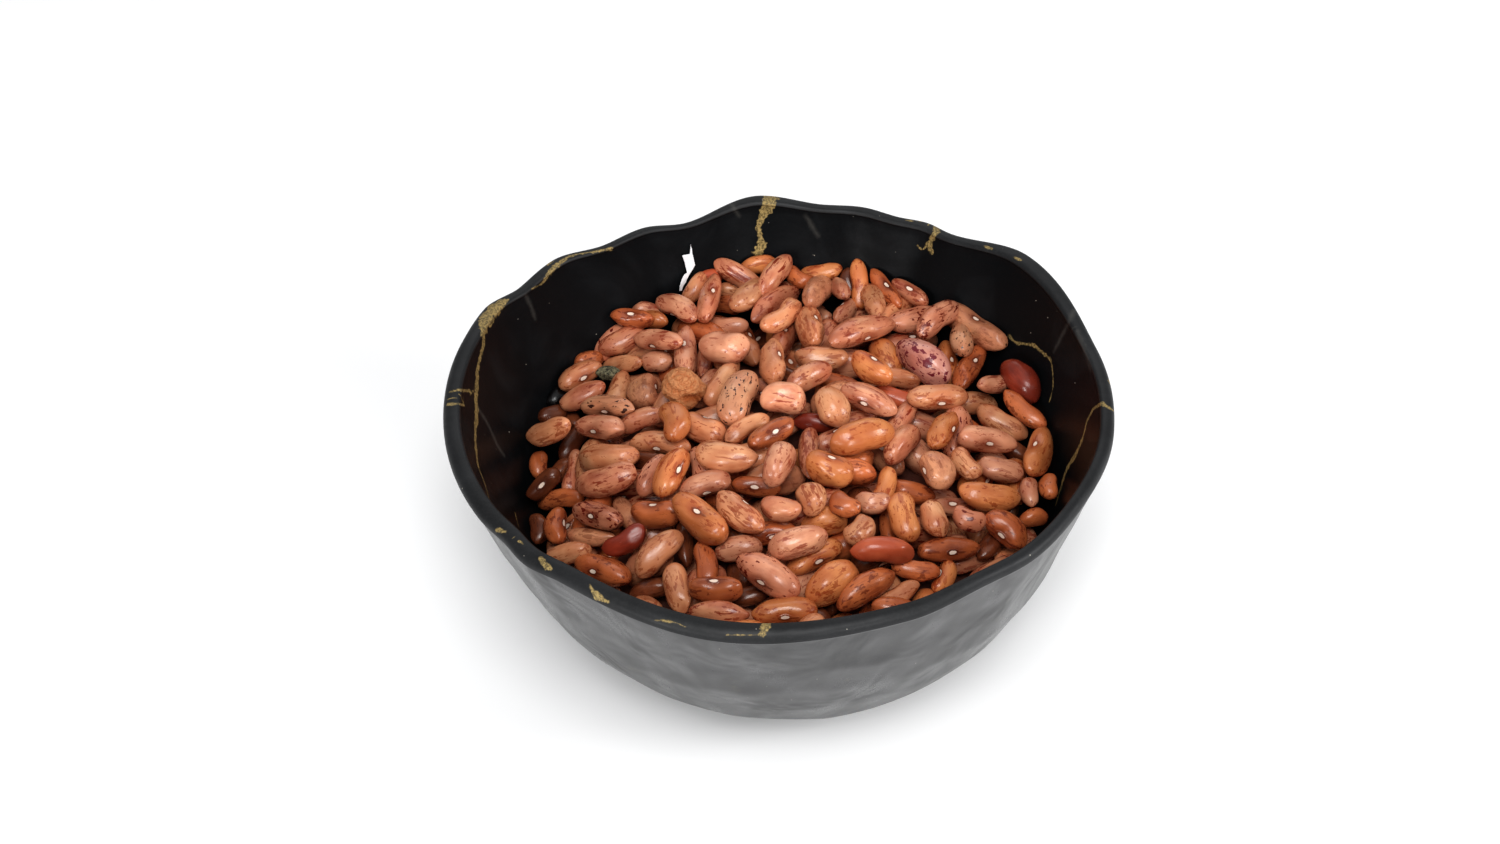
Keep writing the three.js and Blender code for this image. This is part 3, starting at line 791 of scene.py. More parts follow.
def placed_bean(seen, rng):
    """The bean in space that shows as the picture has it: it lies along the heap, at its depth under it."""
    x0, y0, x1, y1 = whole_ends(seen)
    deep = LEVEL_DEPTH[seen["level"]]
    far_side = on_heap((x0 + x1) / 2, (y0 + y1) / 2, deep)
    if seen["level"] == 0 and wall_push(far_side, WALL_CLEAR)[0] > 0:
        (x0, y0), (x1, y1) = seen["ends"]
    middle = np.array([(x0 + x1) / 2, (y0 + y1) / 2])
    way = np.array([x1 - x0, y1 - y0], float)
    shown = float(np.linalg.norm(way))
    way /= shown
    side = np.array([-way[1], way[0]])
    centre = on_heap(*middle, deep)
    view = unit(EYE - centre)
    flat = unit(RIGHT * way[0] - UPWARD * way[1])
    along = unit(np.cross(heap_normal(centre), np.cross(view, flat)))
    if along @ flat < 0:
        along = -along
    scale = FOCAL / ((centre - EYE) @ FORWARD)
    across = (seen["wide"] or COMMON_SEEN_WIDTH) / scale
    steep = abs(along @ view)
    thick = min(across, 8.0) * 0.85
    run = shown / scale
    length = math.sqrt(max(run**2 - (thick * steep) ** 2, 1)) / math.sqrt(max(1 - steep**2, 0.2))
    length = float(np.clip(length, *BEAN_LENGTH))
    sideways = unit(np.cross(along, view))
    toward = unit(view - along * (view @ along))
    to_side = sideways if (sideways @ RIGHT) * side[0] - (sideways @ UPWARD) * side[1] > 0 else -sideways
    if seen["eye"]:
        aside = (np.array(seen["eye"]) - middle) @ side
        turn = math.asin(float(np.clip(aside / max(scale * across / 2, 1), -0.96, 0.96)))
        turn = math.copysign(turn, aside)
    else:
        turn = math.radians(rng.uniform(92, 150)) * rng.choice([-1, 1])
    eye_way = toward * math.cos(turn) + to_side * math.sin(turn)
    slim = rng.uniform(0.78, 0.88)
    if seen["wide"]:
        width = across / math.sqrt(math.sin(turn) ** 2 + (slim * math.cos(turn)) ** 2)
    else:
        width = length * rng.uniform(0.53, 0.6)
    width = float(np.clip(width, *BEAN_WIDTH))
    return {"kind": seen["kind"], "centre": centre, "axes": axes_from(along, -eye_way),
            "fixed": seen["level"] + 1, "size": (length, width, width * slim), "tips": seen["tips"],
            "taper": seen["taper"]}


def random_bean(rng, centre):
    length = float(np.clip(rng.normal(15.3, 1.1), 13, 18))
    width = length * rng.uniform(0.52, 0.6)
    turn = rng.uniform(0, TURN)
    normal = heap_normal(centre)
    level = unit(np.cross(normal, [math.cos(turn), math.sin(turn), 0]))
    along = unit(level + normal * rng.normal(0, 0.22))
    spin = rng.uniform(0, TURN)
    first = unit(np.cross(along, normal))
    back = first * math.cos(spin) + np.cross(along, first) * math.sin(spin)
    return {"kind": FILL_KINDS[rng.integers(len(FILL_KINDS))], "centre": centre,
            "axes": axes_from(along, back), "fixed": 0,
            "size": (length, width, width * rng.uniform(0.78, 0.88)), "tips": (0, 0), "taper": 0}


def chains(centres, axes, sizes):
    """Five balls along each bean."""
    length, width, thick = sizes.T
    reach = np.maximum((length - CHAIN_GIRTH[0] * (width + thick) / 2) / 2, 0.1)
    return centres[:, None] + axes[:, None, :, 0] * (CHAIN[None, :, None] * reach[:, None, None])


def chain_of(one):
    """One bean's balls and how thick each is."""
    (ball,) = chains(*(np.array([one[key]]) for key in ("centre", "axes", "size")))
    return ball, CHAIN_GIRTH * (one["size"][1] + one["size"][2]) / 4


def wall_push(spots, girth):
    """How far each spot has to move, and in what direction, to keep that girth clear of the bowl's inside."""
    angle = np.arctan2(spots[..., 1], spots[..., 0])
    radius = np.hypot(spots[..., 0], spots[..., 1])
    height = np.clip(spots[..., 2], FLOOR["height"] + 0.5, RIM_HEIGHT)
    wall = shaped(inner_radius(height), height, angle)[0]
    steeper = shaped(inner_radius(height + 1), height, angle)[0] - wall
    lean = np.sqrt(1 + steeper**2)
    depth = girth + 0.25 - (wall - radius) / lean
    way = np.stack([-np.cos(angle) / lean, -np.sin(angle) / lean, steeper / lean], -1)
    return np.maximum(depth, 0), way


def turned(axes, turn):
    """Axes turned by a small rotation vector each, kept square."""
    moved = axes + np.cross(turn[:, None, :], axes.transpose(0, 2, 1)).transpose(0, 2, 1)
    x = moved[..., 0] / np.linalg.norm(moved[..., 0], axis=-1, keepdims=True)
    y = moved[..., 1] - x * (moved[..., 1] * x).sum(-1, keepdims=True)
    y /= np.linalg.norm(y, axis=-1, keepdims=True)
    return np.stack([x, y, np.cross(x, y)], -1)


def girth_toward(axes, sizes, way):
    """Half the bean's breadth at its middle in a given direction."""
    local = np.einsum("...ji,...j->...i", axes, way)
    half_width, half_thick = sizes[..., 1] / 2, sizes[..., 2] / 2
    across = local[..., 2] ** 2 + local[..., 0] ** 2
    return np.sqrt((half_width * local[..., 1]) ** 2 + half_thick**2 * across)


def settle(beans):
    """Pushes overlapping beans apart. A seen bean gives way mostly along the line of sight."""
    kept = ("centre", "axes", "size", "fixed")
    centre, axes, size, fixed = (np.array([b[key] for b in beans]) for key in kept)
    home, home_axes = centre.copy(), axes.copy()
    aside_free, deep_free, turn_free = (np.choose(fixed, shares) for shares in FREEDOM)
    sight = (EYE - centre) / np.linalg.norm(EYE - centre, axis=1)[:, None]
    spread = (size[:, 0] ** 2 + size[:, 1] ** 2) / 20
    mean = (size[:, 1] + size[:, 2]) / 4
    hold = (fixed > 0)[:, None]
    for step in range(SETTLE_ROUNDS):
        if step % 10 == 0:
            near = np.linalg.norm(centre[:, None] - centre[None], axis=-1)
            reach = (size[:, None, 0] + size[None, :, 0]) / 2 + 1
            first, second = np.nonzero(np.triu(near < reach, 1))
        ball = chains(centre, axes, size)
        gap = ball[first][:, :, None] - ball[second][:, None]
        far = np.linalg.norm(gap, axis=-1)
        tight = far - mean[first, None, None] * CHAIN_GIRTH[:, None]
        tight = tight - mean[second, None, None] * CHAIN_GIRTH[None]
        flat = tight.reshape(len(first), -1).argmin(1)
        a, b = flat // len(CHAIN), flat % len(CHAIN)
        rows = np.arange(len(first))
        far = far[rows, a, b]
        way = gap[rows, a, b] / np.maximum(far, 1e-6)[:, None]
        need = (girth_toward(axes[first], size[first], way) * CHAIN_GIRTH[a]
                + girth_toward(axes[second], size[second], way) * CHAIN_GIRTH[b]) * 0.97
        press = need - far
        hit = press > 0
        i, j, a, b, way, press = first[hit], second[hit], a[hit], b[hit], way[hit], press[hit]
        move, spin, count = np.zeros_like(centre), np.zeros_like(centre), np.zeros(len(centre))
        sides, easy = [], []
        for who, ball_at, sign in ((i, a, 1), (j, b, -1)):
            arm = ball[who, ball_at] - centre[who] - way * (sign * mean[who])[:, None]
            along_sight = (way * sight[who]).sum(-1)
            lever = np.cross(arm, way)
            give = aside_free[who] * (1 - along_sight**2) + deep_free[who] * along_sight**2
            easy.append(give + turn_free[who] * (lever**2).sum(-1) / spread[who])
            sides.append((who, sign, lever))
        load = press / (easy[0] + easy[1])
        for who, sign, lever in sides:
            on_sight = sight[who] * (way * sight[who]).sum(-1)[:, None]
            shift = (way - on_sight) * aside_free[who][:, None] + on_sight * deep_free[who][:, None]
            np.add.at(move, who, shift * (sign * load)[:, None])
            np.add.at(spin, who, lever * (sign * load * turn_free[who] / spread[who])[:, None])
            np.add.at(count, who, 1)
        depth, inward = wall_push(ball, mean[:, None] * CHAIN_GIRTH)
        worst = depth.argmax(1)
        rows = np.arange(len(centre))
        depth, inward = depth[rows, worst], inward[rows, worst]
        lever = np.cross(ball[rows, worst] - centre, inward)
        facing = (inward * sight).sum(-1)
        lift = (facing > 0.25) & (fixed > 1)
        toward = 0.3 * inward + 0.7 * sight / np.maximum(facing, 0.25)[:, None]
        move += np.where(lift[:, None], toward, inward) * depth[:, None]
        spin += lever * (depth / (2 * spread))[:, None]
        count += depth > 0
        ease = 0.9 / np.maximum(1, count) ** 0.5
        centre = centre + move * ease[:, None]
        pull = home - centre
        down_sight = sight * (pull * sight).sum(-1)[:, None]
        centre = centre + hold * ((pull - down_sight) * 0.3 + down_sight * 0.02)
        high = np.maximum(centre[:, 2] - (heap_height(centre[:, 0], centre[:, 1]) - 0.4), 0)
        centre[:, 2] -= np.where(fixed == 0, high, 0) * 0.5 + np.where(fixed > 0, high, 0) * 0.1
        back = 0.5 * np.cross(axes.transpose(0, 2, 1), home_axes.transpose(0, 2, 1)).sum(1)
        axes = turned(axes, np.clip(spin * ease[:, None], -0.12, 0.12) + hold * back * 0.2)
    for k, b in enumerate(beans):
        b["centre"], b["axes"] = centre[k], axes[k]


def fill_beans(beans, tree, rng):
    """Adds beans behind the front lip, where the picture shows none, and more layers under all of them."""
    balls, girths = map(list, zip(*(chain_of(b) for b in beans)))
    for deep in FILL_DEPTHS:
        for _ in range(FILL_TRIES):
            angle, out = rng.uniform(0, TURN), FILL_RADIUS * math.sqrt(rng.uniform(0, 1))
            x, y = out * math.cos(angle), out * math.sin(angle)
            centre = np.array([x, y, float(heap_height(x, y)) - deep])
            made = random_bean(rng, centre)
            chain, girth = chain_of(made)
            if wall_push(chain, girth)[0].max() > FILL_OVERLAP["wall"]:
                continue
            if deep < UNSEEN_FROM:
                above = Vector((centre + np.array([0, 0, 3.0])) * MM)
                if tree.ray_cast(above, Vector(unit(EYE - centre)))[0] is None:
                    continue
            other, breadth = np.concatenate(balls), np.concatenate(girths)
            apart = np.linalg.norm(chain[:, None] - other[None], axis=-1) - girth[:, None] - breadth[None]
            if apart.min() < -FILL_OVERLAP["bean"]:
                continue
            beans.append(made)
            balls.append(chain)
            girths.append(girth)


def bean_mesh(made, rng):
    """One bean in its own axes, with its eye in the middle of the hollow side, at -Y, and the eye's own Y."""
    length, width, thick = made["size"]
    rows, sides = SEEN_DETAIL if made["fixed"] else FILL_DETAIL
    s = -np.cos(math.pi * np.linspace(0, 1, rows + 1))[1:-1][:, None]
    turn = TURN * (np.arange(sides) + 0.5)[None] / sides
    blunt = rng.uniform(2.1, 3.1)
    point = rng.uniform(0.48, 0.58) + 0.3 * np.where(s < 0, *made["tips"]) * np.abs(s)
    girth = (1 - np.abs(s) ** blunt) ** point
    girth = girth * (1 + rng.normal(0, 0.05) * s - made["taper"] * (s + 0.3))
    squared = rng.uniform(2.0, 2.5)
    y = np.sign(np.cos(turn)) * np.abs(np.cos(turn)) ** (2 / squared)
    z = np.sign(np.sin(turn)) * np.abs(np.sin(turn)) ** (2 / squared)
    bend = rng.triangular(0.0, 0.07, 0.2) * width
    lumps = 1 + 0 * s
    for _ in range(5):
        wave = rng.uniform(1.5, 5.5) * s + rng.integers(1, 4) * turn + rng.uniform(0, TURN)
        lumps = lumps + 0.015 * np.sin(wave)
    crease = np.exp(-((s * length / 2) / 2.6) ** 2) * np.exp(-(((y + 1) / 0.4) ** 2))
    x = s * length / 2 + 0 * turn
    y = width / 2 * girth * lumps * y + bend * (0.35 - s**2) + crease * 0.55
    z = thick / 2 * girth * lumps * z + rng.normal(0, 0.25) * s
    points = np.stack([x, y, z], -1).reshape(-1, 3)
    points = np.concatenate([points, [[-length / 2, -bend * 0.65, 0], [length / 2, -bend * 0.65, 0]]])
    for _ in range(4):
        way = unit(rng.normal(0, 1, 3) * (0.8, 1, 1))
        far = points @ way
        points = points - np.maximum(far - rng.uniform(0.85, 0.95) * far.max(), 0)[:, None] * way * 0.65
    return points, *net_faces(rows - 1, sides, flip=True), -width / 2 + bend * 0.35


def make_beans(beans, rng):
    for kind in KINDS:
        points, quads, tris, places, tones, seeds = [], [], [], [], [], []
        total = 0
        for b in (b for b in beans if b["kind"] == kind):
            own, four, three, eye_y = bean_mesh(b, rng)
            points.append(b["centre"] + own @ b["axes"].T)
            quads.append(four + total)
            tris.append(three + total)
            places.append(own)
            tones.append(np.tile((rng.normal(0, 1), rng.uniform(0, 1), eye_y), (len(own), 1)))
            seeds.append(np.full(len(own), rng.uniform(0, 200)))
            total += len(own)
        piece = new_piece("beans_" + kind, *map(np.concatenate, (points, quads, tris)))
        keep_vectors(piece, "skin_place", np.concatenate(places))
        keep_vectors(piece, "skin_tone", np.concatenate(tones))
        keep_numbers(piece, "skin_seed", np.concatenate(seeds))
        finish_piece(piece, "beans", bean_material(kind))


def bean_material(kind):
    light, dark, marks, streaks, specks, blotches = KINDS[kind]
    s = Shader("bean_" + kind)
    place = s.attribute("skin_place")
    seed = s.attribute("skin_seed", "Fac")
    brighter, marked, eye_y = s.parts(s.attribute("skin_tone"))
    x, y, z = s.parts(place)
    inward = y - eye_y

    def grain(stretch, scale, detail, rough, salt, twist=0.0):
        return s.noise(s.stretched(place, stretch, 1, 1), scale, detail, rough, seed + salt, twist)

    colour = s.blend(s.between(grain(1, 0.16, 2, 0.5, 0.0), 0.34, 0.66), light, dark)
    fine = grain(0.3, 1.3, 4, 0.7, 0.0)
    colour = s.blend(s.between(fine, 0.35, 0.8, 0.0, 0.45), colour, dark)
    tips = s.between(abs(x), 3.0, 8.0, 0.0, 0.6)
    belly = s.between(inward, 3.2, 0.0, 0.0, 0.5)
    colour = s.blend(s.math("MAXIMUM", tips, belly), colour, dark)

    patchy = s.between(grain(1, 0.2, 1, 0.5, 7.0), 0.38, 0.62)
    if kind == "cream":
        patchy = 0.5 + 0.3 * patchy
    own = (0.9 if kind == "blotched" else 0.55) + 0.7 * marked
    haze = s.between(grain(0.3, 0.4, 2, 0.5, 5.0), 0.46, 0.66, 0.0, 0.42)
    streak = s.between(grain(0.17, 0.95, 3, 0.6, 3.0, 0.5), 0.62 - 0.09 * patchy, 0.66 - 0.09 * patchy)
    blotch = s.between(grain(0.8, 0.42, 3, 0.6, 17.0, 0.3), 0.55, 0.575)
    speck = s.between(grain(0.5, 1.1, 2, 0.55, 11.0), 0.66 - 0.1 * patchy, 0.685 - 0.1 * patchy)
    for share in (haze * own * streaks, streak * own * (0.9 * streaks), blotch * own * (0.95 * blotches),
                  speck * min(1.0, specks * 1.1)):
        colour = s.blend(share, colour, marks)
    colour = s.blend(1.0, colour, 1.0 + 0.07 * brighter, "MULTIPLY")

    eye_x, eye_z = x * (1 / EYE_HALF[0]), z * (1 / EYE_HALF[1])
    behind = s.between(inward, 2.2, 3.0, 0.0, 9.0)
    away = s.math("SQRT", eye_x * eye_x + eye_z * eye_z)
    away = away + 0.5 * s.noise(place, 1.6, 2, 0.5, seed) - 0.25 + behind
    seam = abs(z) + s.between(x, 2.5, 5.0, 0.0, 1.0) + s.between(x, 0.5, -0.5, 0.0, 2.0) + behind
    ring = s.math("MAXIMUM", s.between(away, 1.75, 1.3), s.between(seam, 0.4, 0.12, 0.0, 0.75))
    white = s.between(away, 1.0, 0.85)
    colour = s.blend(s.between(away, 4.2, 1.6, 0.0, 0.5), colour, marks)
    colour = s.blend(ring * (0.15 + 0.7 * marked), colour, srgb(88, 38, 24))
    colour = s.blend(white, colour, s.blend(s.noise(place, 2.5, 3), srgb(246, 228, 212), srgb(214, 186, 166)))
    relief = grain(0.35, 1.0, 4, 0.62, 0.0) + 1.1 * (white - ring)
    return s.finish(Base_Color=colour, Roughness=0.16 + 0.18 * fine + 0.3 * white, IOR=1.5,
                    Normal=s.bump(relief, 0.00016, 0.7))


def core_material():
    s = Shader("heap_core")
    place = s.place()
    # Dark brown: painted shade for the deep gaps where the core shows between the beans.
    return s.finish(Base_Color=s.blend(s.noise(place, 0.2, 3), srgb(58, 26, 18), srgb(92, 46, 30)),
                    Roughness=0.6 + 0.2 * s.noise(place, 0.6, 2),
                    Normal=s.bump(s.noise(place, 0.4, 4), 0.0006))


def make_core():
    """The mass under the separate beans: closed, and clear of the wall."""
    angle = TURN * np.arange(CORE_SIDES) / CORE_SIDES
    edge = around(HEAP_EDGE, angle) - CORE_DEPTH
    bottom = FLOOR["height"] + CORE_LIFT
    rows = []
    for share in np.linspace(0, 1, 9)[1:]:
        rows.append((share * (FLOOR["radius"] - CORE_GAP - 1) + 0 * angle, bottom + 0 * angle))
    for share in np.linspace(0.06, 1, 10):
        height = mix(FLOOR["height"], edge, share)
        rows.append((shaped(inner_radius(height), height, angle)[0] - CORE_GAP, height))
    for share in np.linspace(1, 0, CORE_RINGS)[1:-1]:
        radius = (shaped(inner_radius(edge), edge, angle)[0] - CORE_GAP) * share
        top = heap_height(radius * np.cos(angle), radius * np.sin(angle)) - CORE_DEPTH
        lump = 1.4 * np.sin(radius * 0.45 + 3 * angle) * np.cos(radius * 0.3 - 5 * angle)
        rows.append((radius, top + lump * smooth(np.minimum(1, 3 * (1 - share)))))
    rings = np.array([np.stack([r * np.cos(angle), r * np.sin(angle), h], -1) for r, h in rows])
    points = np.concatenate([rings.reshape(-1, 3), [[0, 0, bottom], [0, 0, HEAP_MIDDLE - CORE_DEPTH]]])
    piece = new_piece("heap_core", points, *net_faces(len(rows), CORE_SIDES))
    finish_piece(piece, "beans", core_material())


# ---------------------------------------------------------------------------- the odd things among the beans
def ball_mesh(rows, sides):
    """Directions over a ball and the faces between them, with one point at each pole."""
    tilt = math.pi * np.arange(1, rows)[:, None] / rows
    turn = TURN * np.arange(sides)[None] / sides
    ways = np.stack([np.sin(tilt) * np.cos(turn), np.sin(tilt) * np.sin(turn), np.cos(tilt) + 0 * turn], -1)
    ways = np.concatenate([ways.reshape(-1, 3), [[0, 0, 1], [0, 0, -1]]])
    return ways, *net_faces(rows - 1, sides, flip=True)


def ripples(ways, rng, count, fine, rough=0.5):
    """Smooth uneven numbers over a ball, about -1 to 1."""
    total = np.zeros(len(ways))
    for k in range(count):
        wave = rng.normal(0, 1, 3)
        wave *= fine * (1 + k * rough) / np.linalg.norm(wave)
        total += np.sin(ways @ wave + rng.uniform(0, TURN)) / (1 + k * 0.5)
    return total / 2


# Folds of the wrinkled seed as it faces the reference view, each a line of points over its face, in shares of
# its half breadth, with how deep and how wide it is. A negative depth is a ridge.
SEED_FOLDS = [
    ([(-0.95, 0.2), (-0.44, -0.12), (0.12, -0.36)], 0.05, 0.16), ([(0.15, -0.6), (0.6, -0.55)], 0.2, 0.19),
    ([(0.05, -0.32), (0.35, -0.24), (0.66, -0.28)], -0.04, 0.07),
    ([(0.95, 0.1), (0.95, -0.35), (0.8, -0.75), (0.4, -0.98), (-0.1, -0.9)], -0.13, 0.12),
    ([(0.8, -0.3), (0.82, -0.5)], 0.1, 0.06), ([(0.2, 0.65), (0.42, 0.3), (0.4, 0.1)], 0.04, 0.05),
    ([(0.6, 0.5), (0.5, 0.2)], 0.04, 0.04), ([(-0.6, 0.75), (-0.3, 0.4), (-0.2, 0.1)], 0.035, 0.05),
    ([(-0.85, 0.45), (-0.6, 0.1), (-0.62, -0.2)], 0.06, 0.06), ([(-0.3, -0.1), (-0.25, -0.4)], 0.06, 0.05),
    ([(-0.05, 0.5), (0.05, 0.1), (0.3, -0.1)], 0.035, 0.05),
    ([(-0.75, -0.05), (-0.5, -0.35), (-0.1, -0.55)], 0.05, 0.08),
]
SEED_CUTS = [
    ((-0.6, -0.78, 0.1), 0.76), ((0.75, 0.66, 0.1), 0.8), ((0.05, -0.25, 0.95), 0.84), ((0, 0, -1), 0.8),
]
SEED_HALF = (5.5, 5.1, 4.7)
SEED_SEEN = (683, 388)
SEED_DEPTH = 0.2
STONE_HALF = (3.4, 2.4, 2.0)
STONE_SEEN = (608, 374)
STONE_DEPTH = 1.2


def line_distance(points, line):
    """How far each flat point lies from a line of points."""
    best = np.full(len(points), 9.0)
    for a, b in zip(np.array(line), np.array(line)[1:]):
        t = np.clip((points - a) @ (b - a) / ((b - a) @ (b - a)), 0, 1)
        best = np.minimum(best, np.linalg.norm(points - a - t[:, None] * (b - a), axis=1))
    return best


def make_wrinkled_seed(centre, rng):
    ways, quads, tris = ball_mesh(150, 190)
    radius = 1 + 0.035 * ripples(ways, rng, 4, 2.0)
    for cut_way, far in SEED_CUTS:
        side = ways @ unit(np.array(cut_way))
        radius = np.minimum(radius, far / np.maximum(side, 0.05) * 0.5 + radius * 0.5)
    coarse = 1 - 3 * np.abs(ripples(ways, rng, 6, 6.0))
    net = np.clip(np.maximum(coarse, 0.9 - 3 * np.abs(ripples(ways, rng, 6, 11.0))), 0, 1)
    radius = radius - 0.045 * net - 0.014 * ripples(ways, rng, 5, 15.0)
    # Grooves darken with their depth: painted shade in the folds and wrinkles.
    fold_shade = 0.6 * net
    for line, depth, wide in SEED_FOLDS:
        cut = np.exp(-((line_distance(ways[:, :2], line) / wide) ** 2)) * np.clip(3 * ways[:, 2] + 0.6, 0, 1)
        radius = radius - depth * cut
        fold_shade = np.maximum(fold_shade, cut * (depth > 0) * min(1, depth * 7))
    view = unit(EYE - centre)
    across = unit(np.cross([0, 0, 1], view))
    points = (ways * radius[:, None] * np.array(SEED_HALF)) @ np.stack([across, np.cross(view, across), view])
    piece = new_piece("wrinkled_seed", centre + points, quads, tris)
    keep_vectors(piece, "skin_place", ways * radius[:, None] * 5)
    keep_numbers(piece, "crease", np.clip(fold_shade, 0, 1))
    s = Shader("wrinkled_seed")
    place = s.attribute("skin_place")
    colour = s.blend(s.noise(place, 0.5, 4, 0.6), srgb(200, 144, 100), srgb(184, 112, 62))
    # Painted shade in the folds and wrinkles.
    crease = s.between(s.attribute("crease", "Fac"), 0.1, 0.8, 0.0, 0.85)
    colour = s.blend(crease, colour, srgb(166, 86, 32))
    colour = s.blend(s.between(s.noise(place, 1.3, 4), 0.58, 0.68, 0.0, 0.4), colour, srgb(160, 84, 40))
    finish_piece(piece, "beans", s.finish(
        Base_Color=colour, Roughness=0.42 + 0.2 * s.noise(place, 1.5),
        Normal=s.bump(s.noise(place, 1.2, 5, 0.65), 0.0009)))


def make_stone(centre, rng):
    ways, quads, tris = ball_mesh(30, 44)
    cuts = np.array([unit(rng.normal(0, 1, 3)) for _ in range(12)])
    radius = np.minimum(1.0, (0.74 / np.maximum(ways @ cuts.T, 0.05)).min(1))
    radius = radius + 0.03 * ripples(ways, rng, 4, 6)
    piece = new_piece("stone", centre + ways * radius[:, None] * np.array(STONE_HALF), quads, tris)
    s = Shader("stone")
    place = s.place()
    mottled = s.between(s.noise(place, 1.3, 5, 0.7), 0.35, 0.65)
    finish_piece(piece, "beans", s.finish(
        Base_Color=s.blend(mottled, srgb(34, 33, 25), srgb(140, 134, 104)),
        Roughness=0.7 + 0.2 * s.noise(place, 2.0), Normal=s.bump(s.noise(place, 1.6, 6, 0.7), 0.0006)))


# The paper's outline as it faces the reference view: height, left edge and right edge, from its foot.
SHRED_OUTLINE = [
    (0, -0.84, -0.14), (1.3, -0.7, 0.42), (2.1, -0.48, 1.12), (3.1, -0.14, 1.54), (3.9, 0.28, 1.96),
    (4.5, 0.7, 2.32), (4.8, 1.4, 2.52), (5.45, 1.34, 2.94), (6.2, 1.12, 3.36), (6.75, 1.03, 3.64),
    (8.05, 0.7, 3.3), (9.6, 0.06, 2.94), (9.8, 0.42, 2.85), (9.9, 2.2, 2.82), (11.2, 2.24, 2.68),
    (12.6, 2.24, 2.35),
]
SHRED_GRID = (90, 12)
PAPER_HALF = 0.09


def make_shred(rng):
    """A torn strip of paper that stands up by the wall: narrow foot, broad middle, torn point."""
    rows, columns = SHRED_GRID
    tall, left, right = np.array(SHRED_OUTLINE).T
    up = np.linspace(tall[0], tall[-1], rows)
    left = np.interp(up, tall, left) + rng.normal(0, 0.03, rows)
    right = np.interp(up, tall, right) + rng.normal(0, 0.03, rows)
    share = (up / tall[-1])[:, None]
    across = np.linspace(0, 1, columns)[None]
    u = mix(left[:, None], right[:, None], across)
    v = up[:, None] + 0 * u
    curl = 0.4 * np.sin(share * 7.0) * (across - 0.5) + 0.3 * np.sin(share * math.pi) - 0.1
    faces = [np.stack([u, curl + side, v], -1).reshape(-1, 3) for side in (-PAPER_HALF, PAPER_HALF)]
    points = np.concatenate(faces)
    grid = np.arange(rows * columns).reshape(rows, columns)
    cell = np.stack([grid[:-1, :-1], grid[:-1, 1:], grid[1:, 1:], grid[1:, :-1]], -1).reshape(-1, 4)
    rim = np.concatenate([grid[0], grid[1:, -1], grid[-1, -2::-1], grid[-2:0:-1, 0]])
    after = np.roll(rim, -1)
    band = np.stack([after, rim, rim + grid.size, after + grid.size], -1)
    angle = math.radians(SHRED["angle"])
    foot_height = float(around(HEAP_EDGE, np.array(angle))) + SHRED["above"]
    foot_radius = float(inner_radius(foot_height)) - SHRED["inside"]
    turn = Matrix.Rotation(angle - math.pi / 2, 3, "Z")
    lean = Matrix.Rotation(math.radians(-SHRED["lean"]), 3, "X")
    tilt = Matrix.Rotation(math.radians(SHRED["tilt"]), 3, "Y")
    points = points @ np.array(turn @ (lean @ tilt)).T
    points += [foot_radius * math.cos(angle), foot_radius * math.sin(angle), foot_height]
    low, high = (np.array(corner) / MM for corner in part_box("paper_shred"))
    points *= min(1, ((high - low) / (points.max(0) - points.min(0))).min() * 0.995)
    points += np.clip(0, low - points.min(0), high - points.max(0))
    piece = new_piece("torn_paper", points, np.concatenate([cell, cell[:, ::-1] + grid.size, band]))
    s = Shader("torn_paper")
    place = s.place()
    finish_piece(piece, "paper_shred", s.finish(
        Base_Color=s.blend(s.noise(place, 1.2, 4), srgb(232, 232, 234), srgb(204, 204, 206)),
        Roughness=0.8 + 0.1 * s.noise(place, 3.0), Normal=s.bump(s.noise(place, 2.5, 5), 0.00012)))


# ------------------------------------------------------------------------------------------- floor and light
STAGE_HALF = 3000
STAGE_GAP = 0.05
WORLD_COLOUR = (0.97, 0.98, 1.0, 1)
WORLD_STRENGTH = 0.38
BOWL_MIDDLE = (0, 0, 0.03)
# Each light's name, its place and aim in metres, its breadth in metres and its power in watts.
LIGHTS = [
    ("low_right", (0.55, -1.05, 0.42), BOWL_MIDDLE, 0.3, 3.5),
    ("low_left", (-0.62, -1.0, 0.36), BOWL_MIDDLE, 0.3, 4.5),
    ("right_side", (1.1, -0.2, 0.5), BOWL_MIDDLE, 0.4, 5.0),
    ("above_camera", (0.0, -0.6, 1.1), BOWL_MIDDLE, 0.6, 7.6),
    ("overhead", (0.05, 0.0, 1.2), BOWL_MIDDLE, 1.2, 1.0),
    ("background", (0.0, 1.3, 0.9), (0, 1.25, 0), 1.2, 3.0),
]


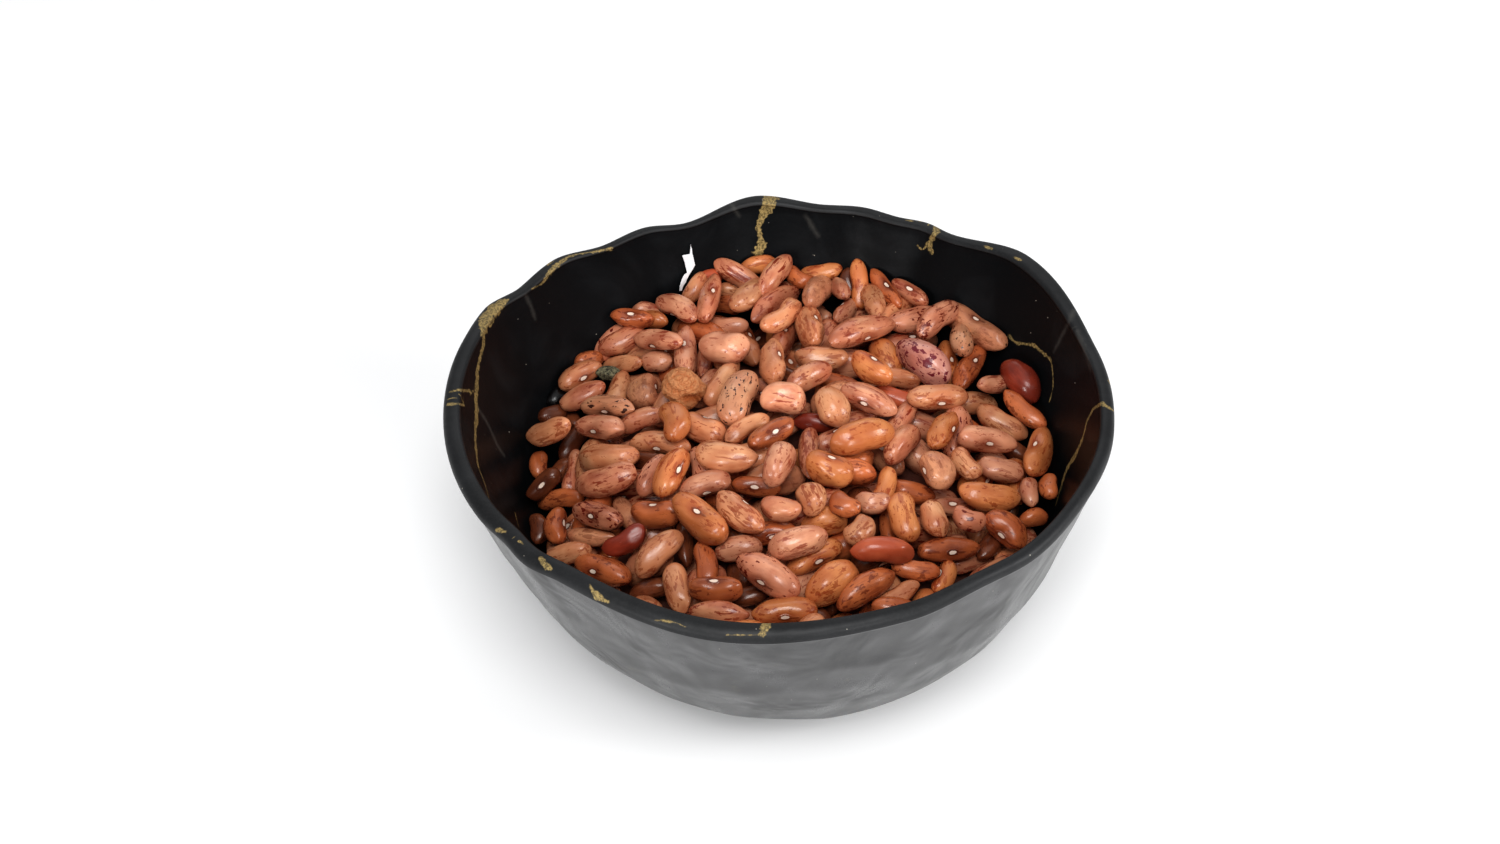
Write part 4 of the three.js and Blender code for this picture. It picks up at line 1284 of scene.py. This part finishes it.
def add_floor():
    """A plain pale stage that glows a little: painted light that lifts the bowl's shadow round its foot."""
    corners = [(x * STAGE_HALF, y * STAGE_HALF, -STAGE_GAP) for x, y in ((-1, -1), (1, -1), (1, 1), (-1, 1))]
    floor = new_piece("floor", corners, [[0, 1, 2, 3]])
    s = Shader("floor")
    place = s.place()
    floor.data.materials.append(s.finish(
        Base_Color=s.blend(s.noise(place, 0.01, 2), srgb(234, 234, 234), srgb(230, 230, 230)), Roughness=0.8,
        # Painted light: the glow lifts the shade that the bowl casts on the stage and brightens the bowl's
        # outside.
        Emission_Color=s.blend(s.noise(place, 0.02, 1), srgb(255, 255, 255), srgb(250, 250, 250)),
        Emission_Strength=0.1))


def add_lights():
    world = bpy.data.worlds.new("studio")
    world.use_nodes = True
    background = world.node_tree.nodes["Background"]
    background.inputs["Color"].default_value = WORLD_COLOUR
    background.inputs["Strength"].default_value = WORLD_STRENGTH
    bpy.context.scene.world = world
    for name, place, aim, size, power in LIGHTS:
        data = bpy.data.lights.new(name, "AREA")
        data.shape = "DISK"
        data.size = size
        data.energy = power
        light = bpy.data.objects.new(name, data)
        light.location = place
        light.rotation_mode = "QUATERNION"
        light.rotation_quaternion = (Vector(aim) - Vector(place)).to_track_quat("-Z", "Y")
        bpy.context.scene.collection.objects.link(light)


bpy.context.scene.view_settings.view_transform = "Standard"
bpy.context.scene.view_settings.look = "Medium High Contrast"
add_camera()
add_lights()
add_floor()

bowl = make_bowl()
graph = bpy.context.evaluated_depsgraph_get()
bowl_tree = BVHTree.FromObject(bowl, graph)
seen_gold = vein_points(bowl_tree, GOLD_SEEN)
hidden_gold = vein_points(bowl_tree, GOLD_UNSEEN, outside=True)
keep_veins(bowl, "gold", [seen_gold, hidden_gold])
keep_veins(bowl, "grey", [vein_points(bowl_tree, GREY_SEEN)])
finish_piece(bowl, "bowl", bowl_material())

rng = np.random.default_rng(11)
beans = [placed_bean(seen, rng) for seen in SEEN_BEANS]
seed = {"centre": on_heap(*SEED_SEEN, SEED_DEPTH), "size": tuple(2 * half for half in SEED_HALF), "kind": "seed"}
stone = {"centre": on_heap(*STONE_SEEN, STONE_DEPTH), "size": (5.6, 4.2, 3.6), "kind": "stone"}
for odd in (seed, stone):
    beans.append(odd)
    odd.update(axes=np.eye(3), fixed=3)
fill_beans(beans, bowl_tree, rng)
settle(beans)
make_beans(beans, rng)
make_core()
make_wrinkled_seed(seed["centre"], rng)
make_stone(stone["centre"], rng)
make_shred(rng)
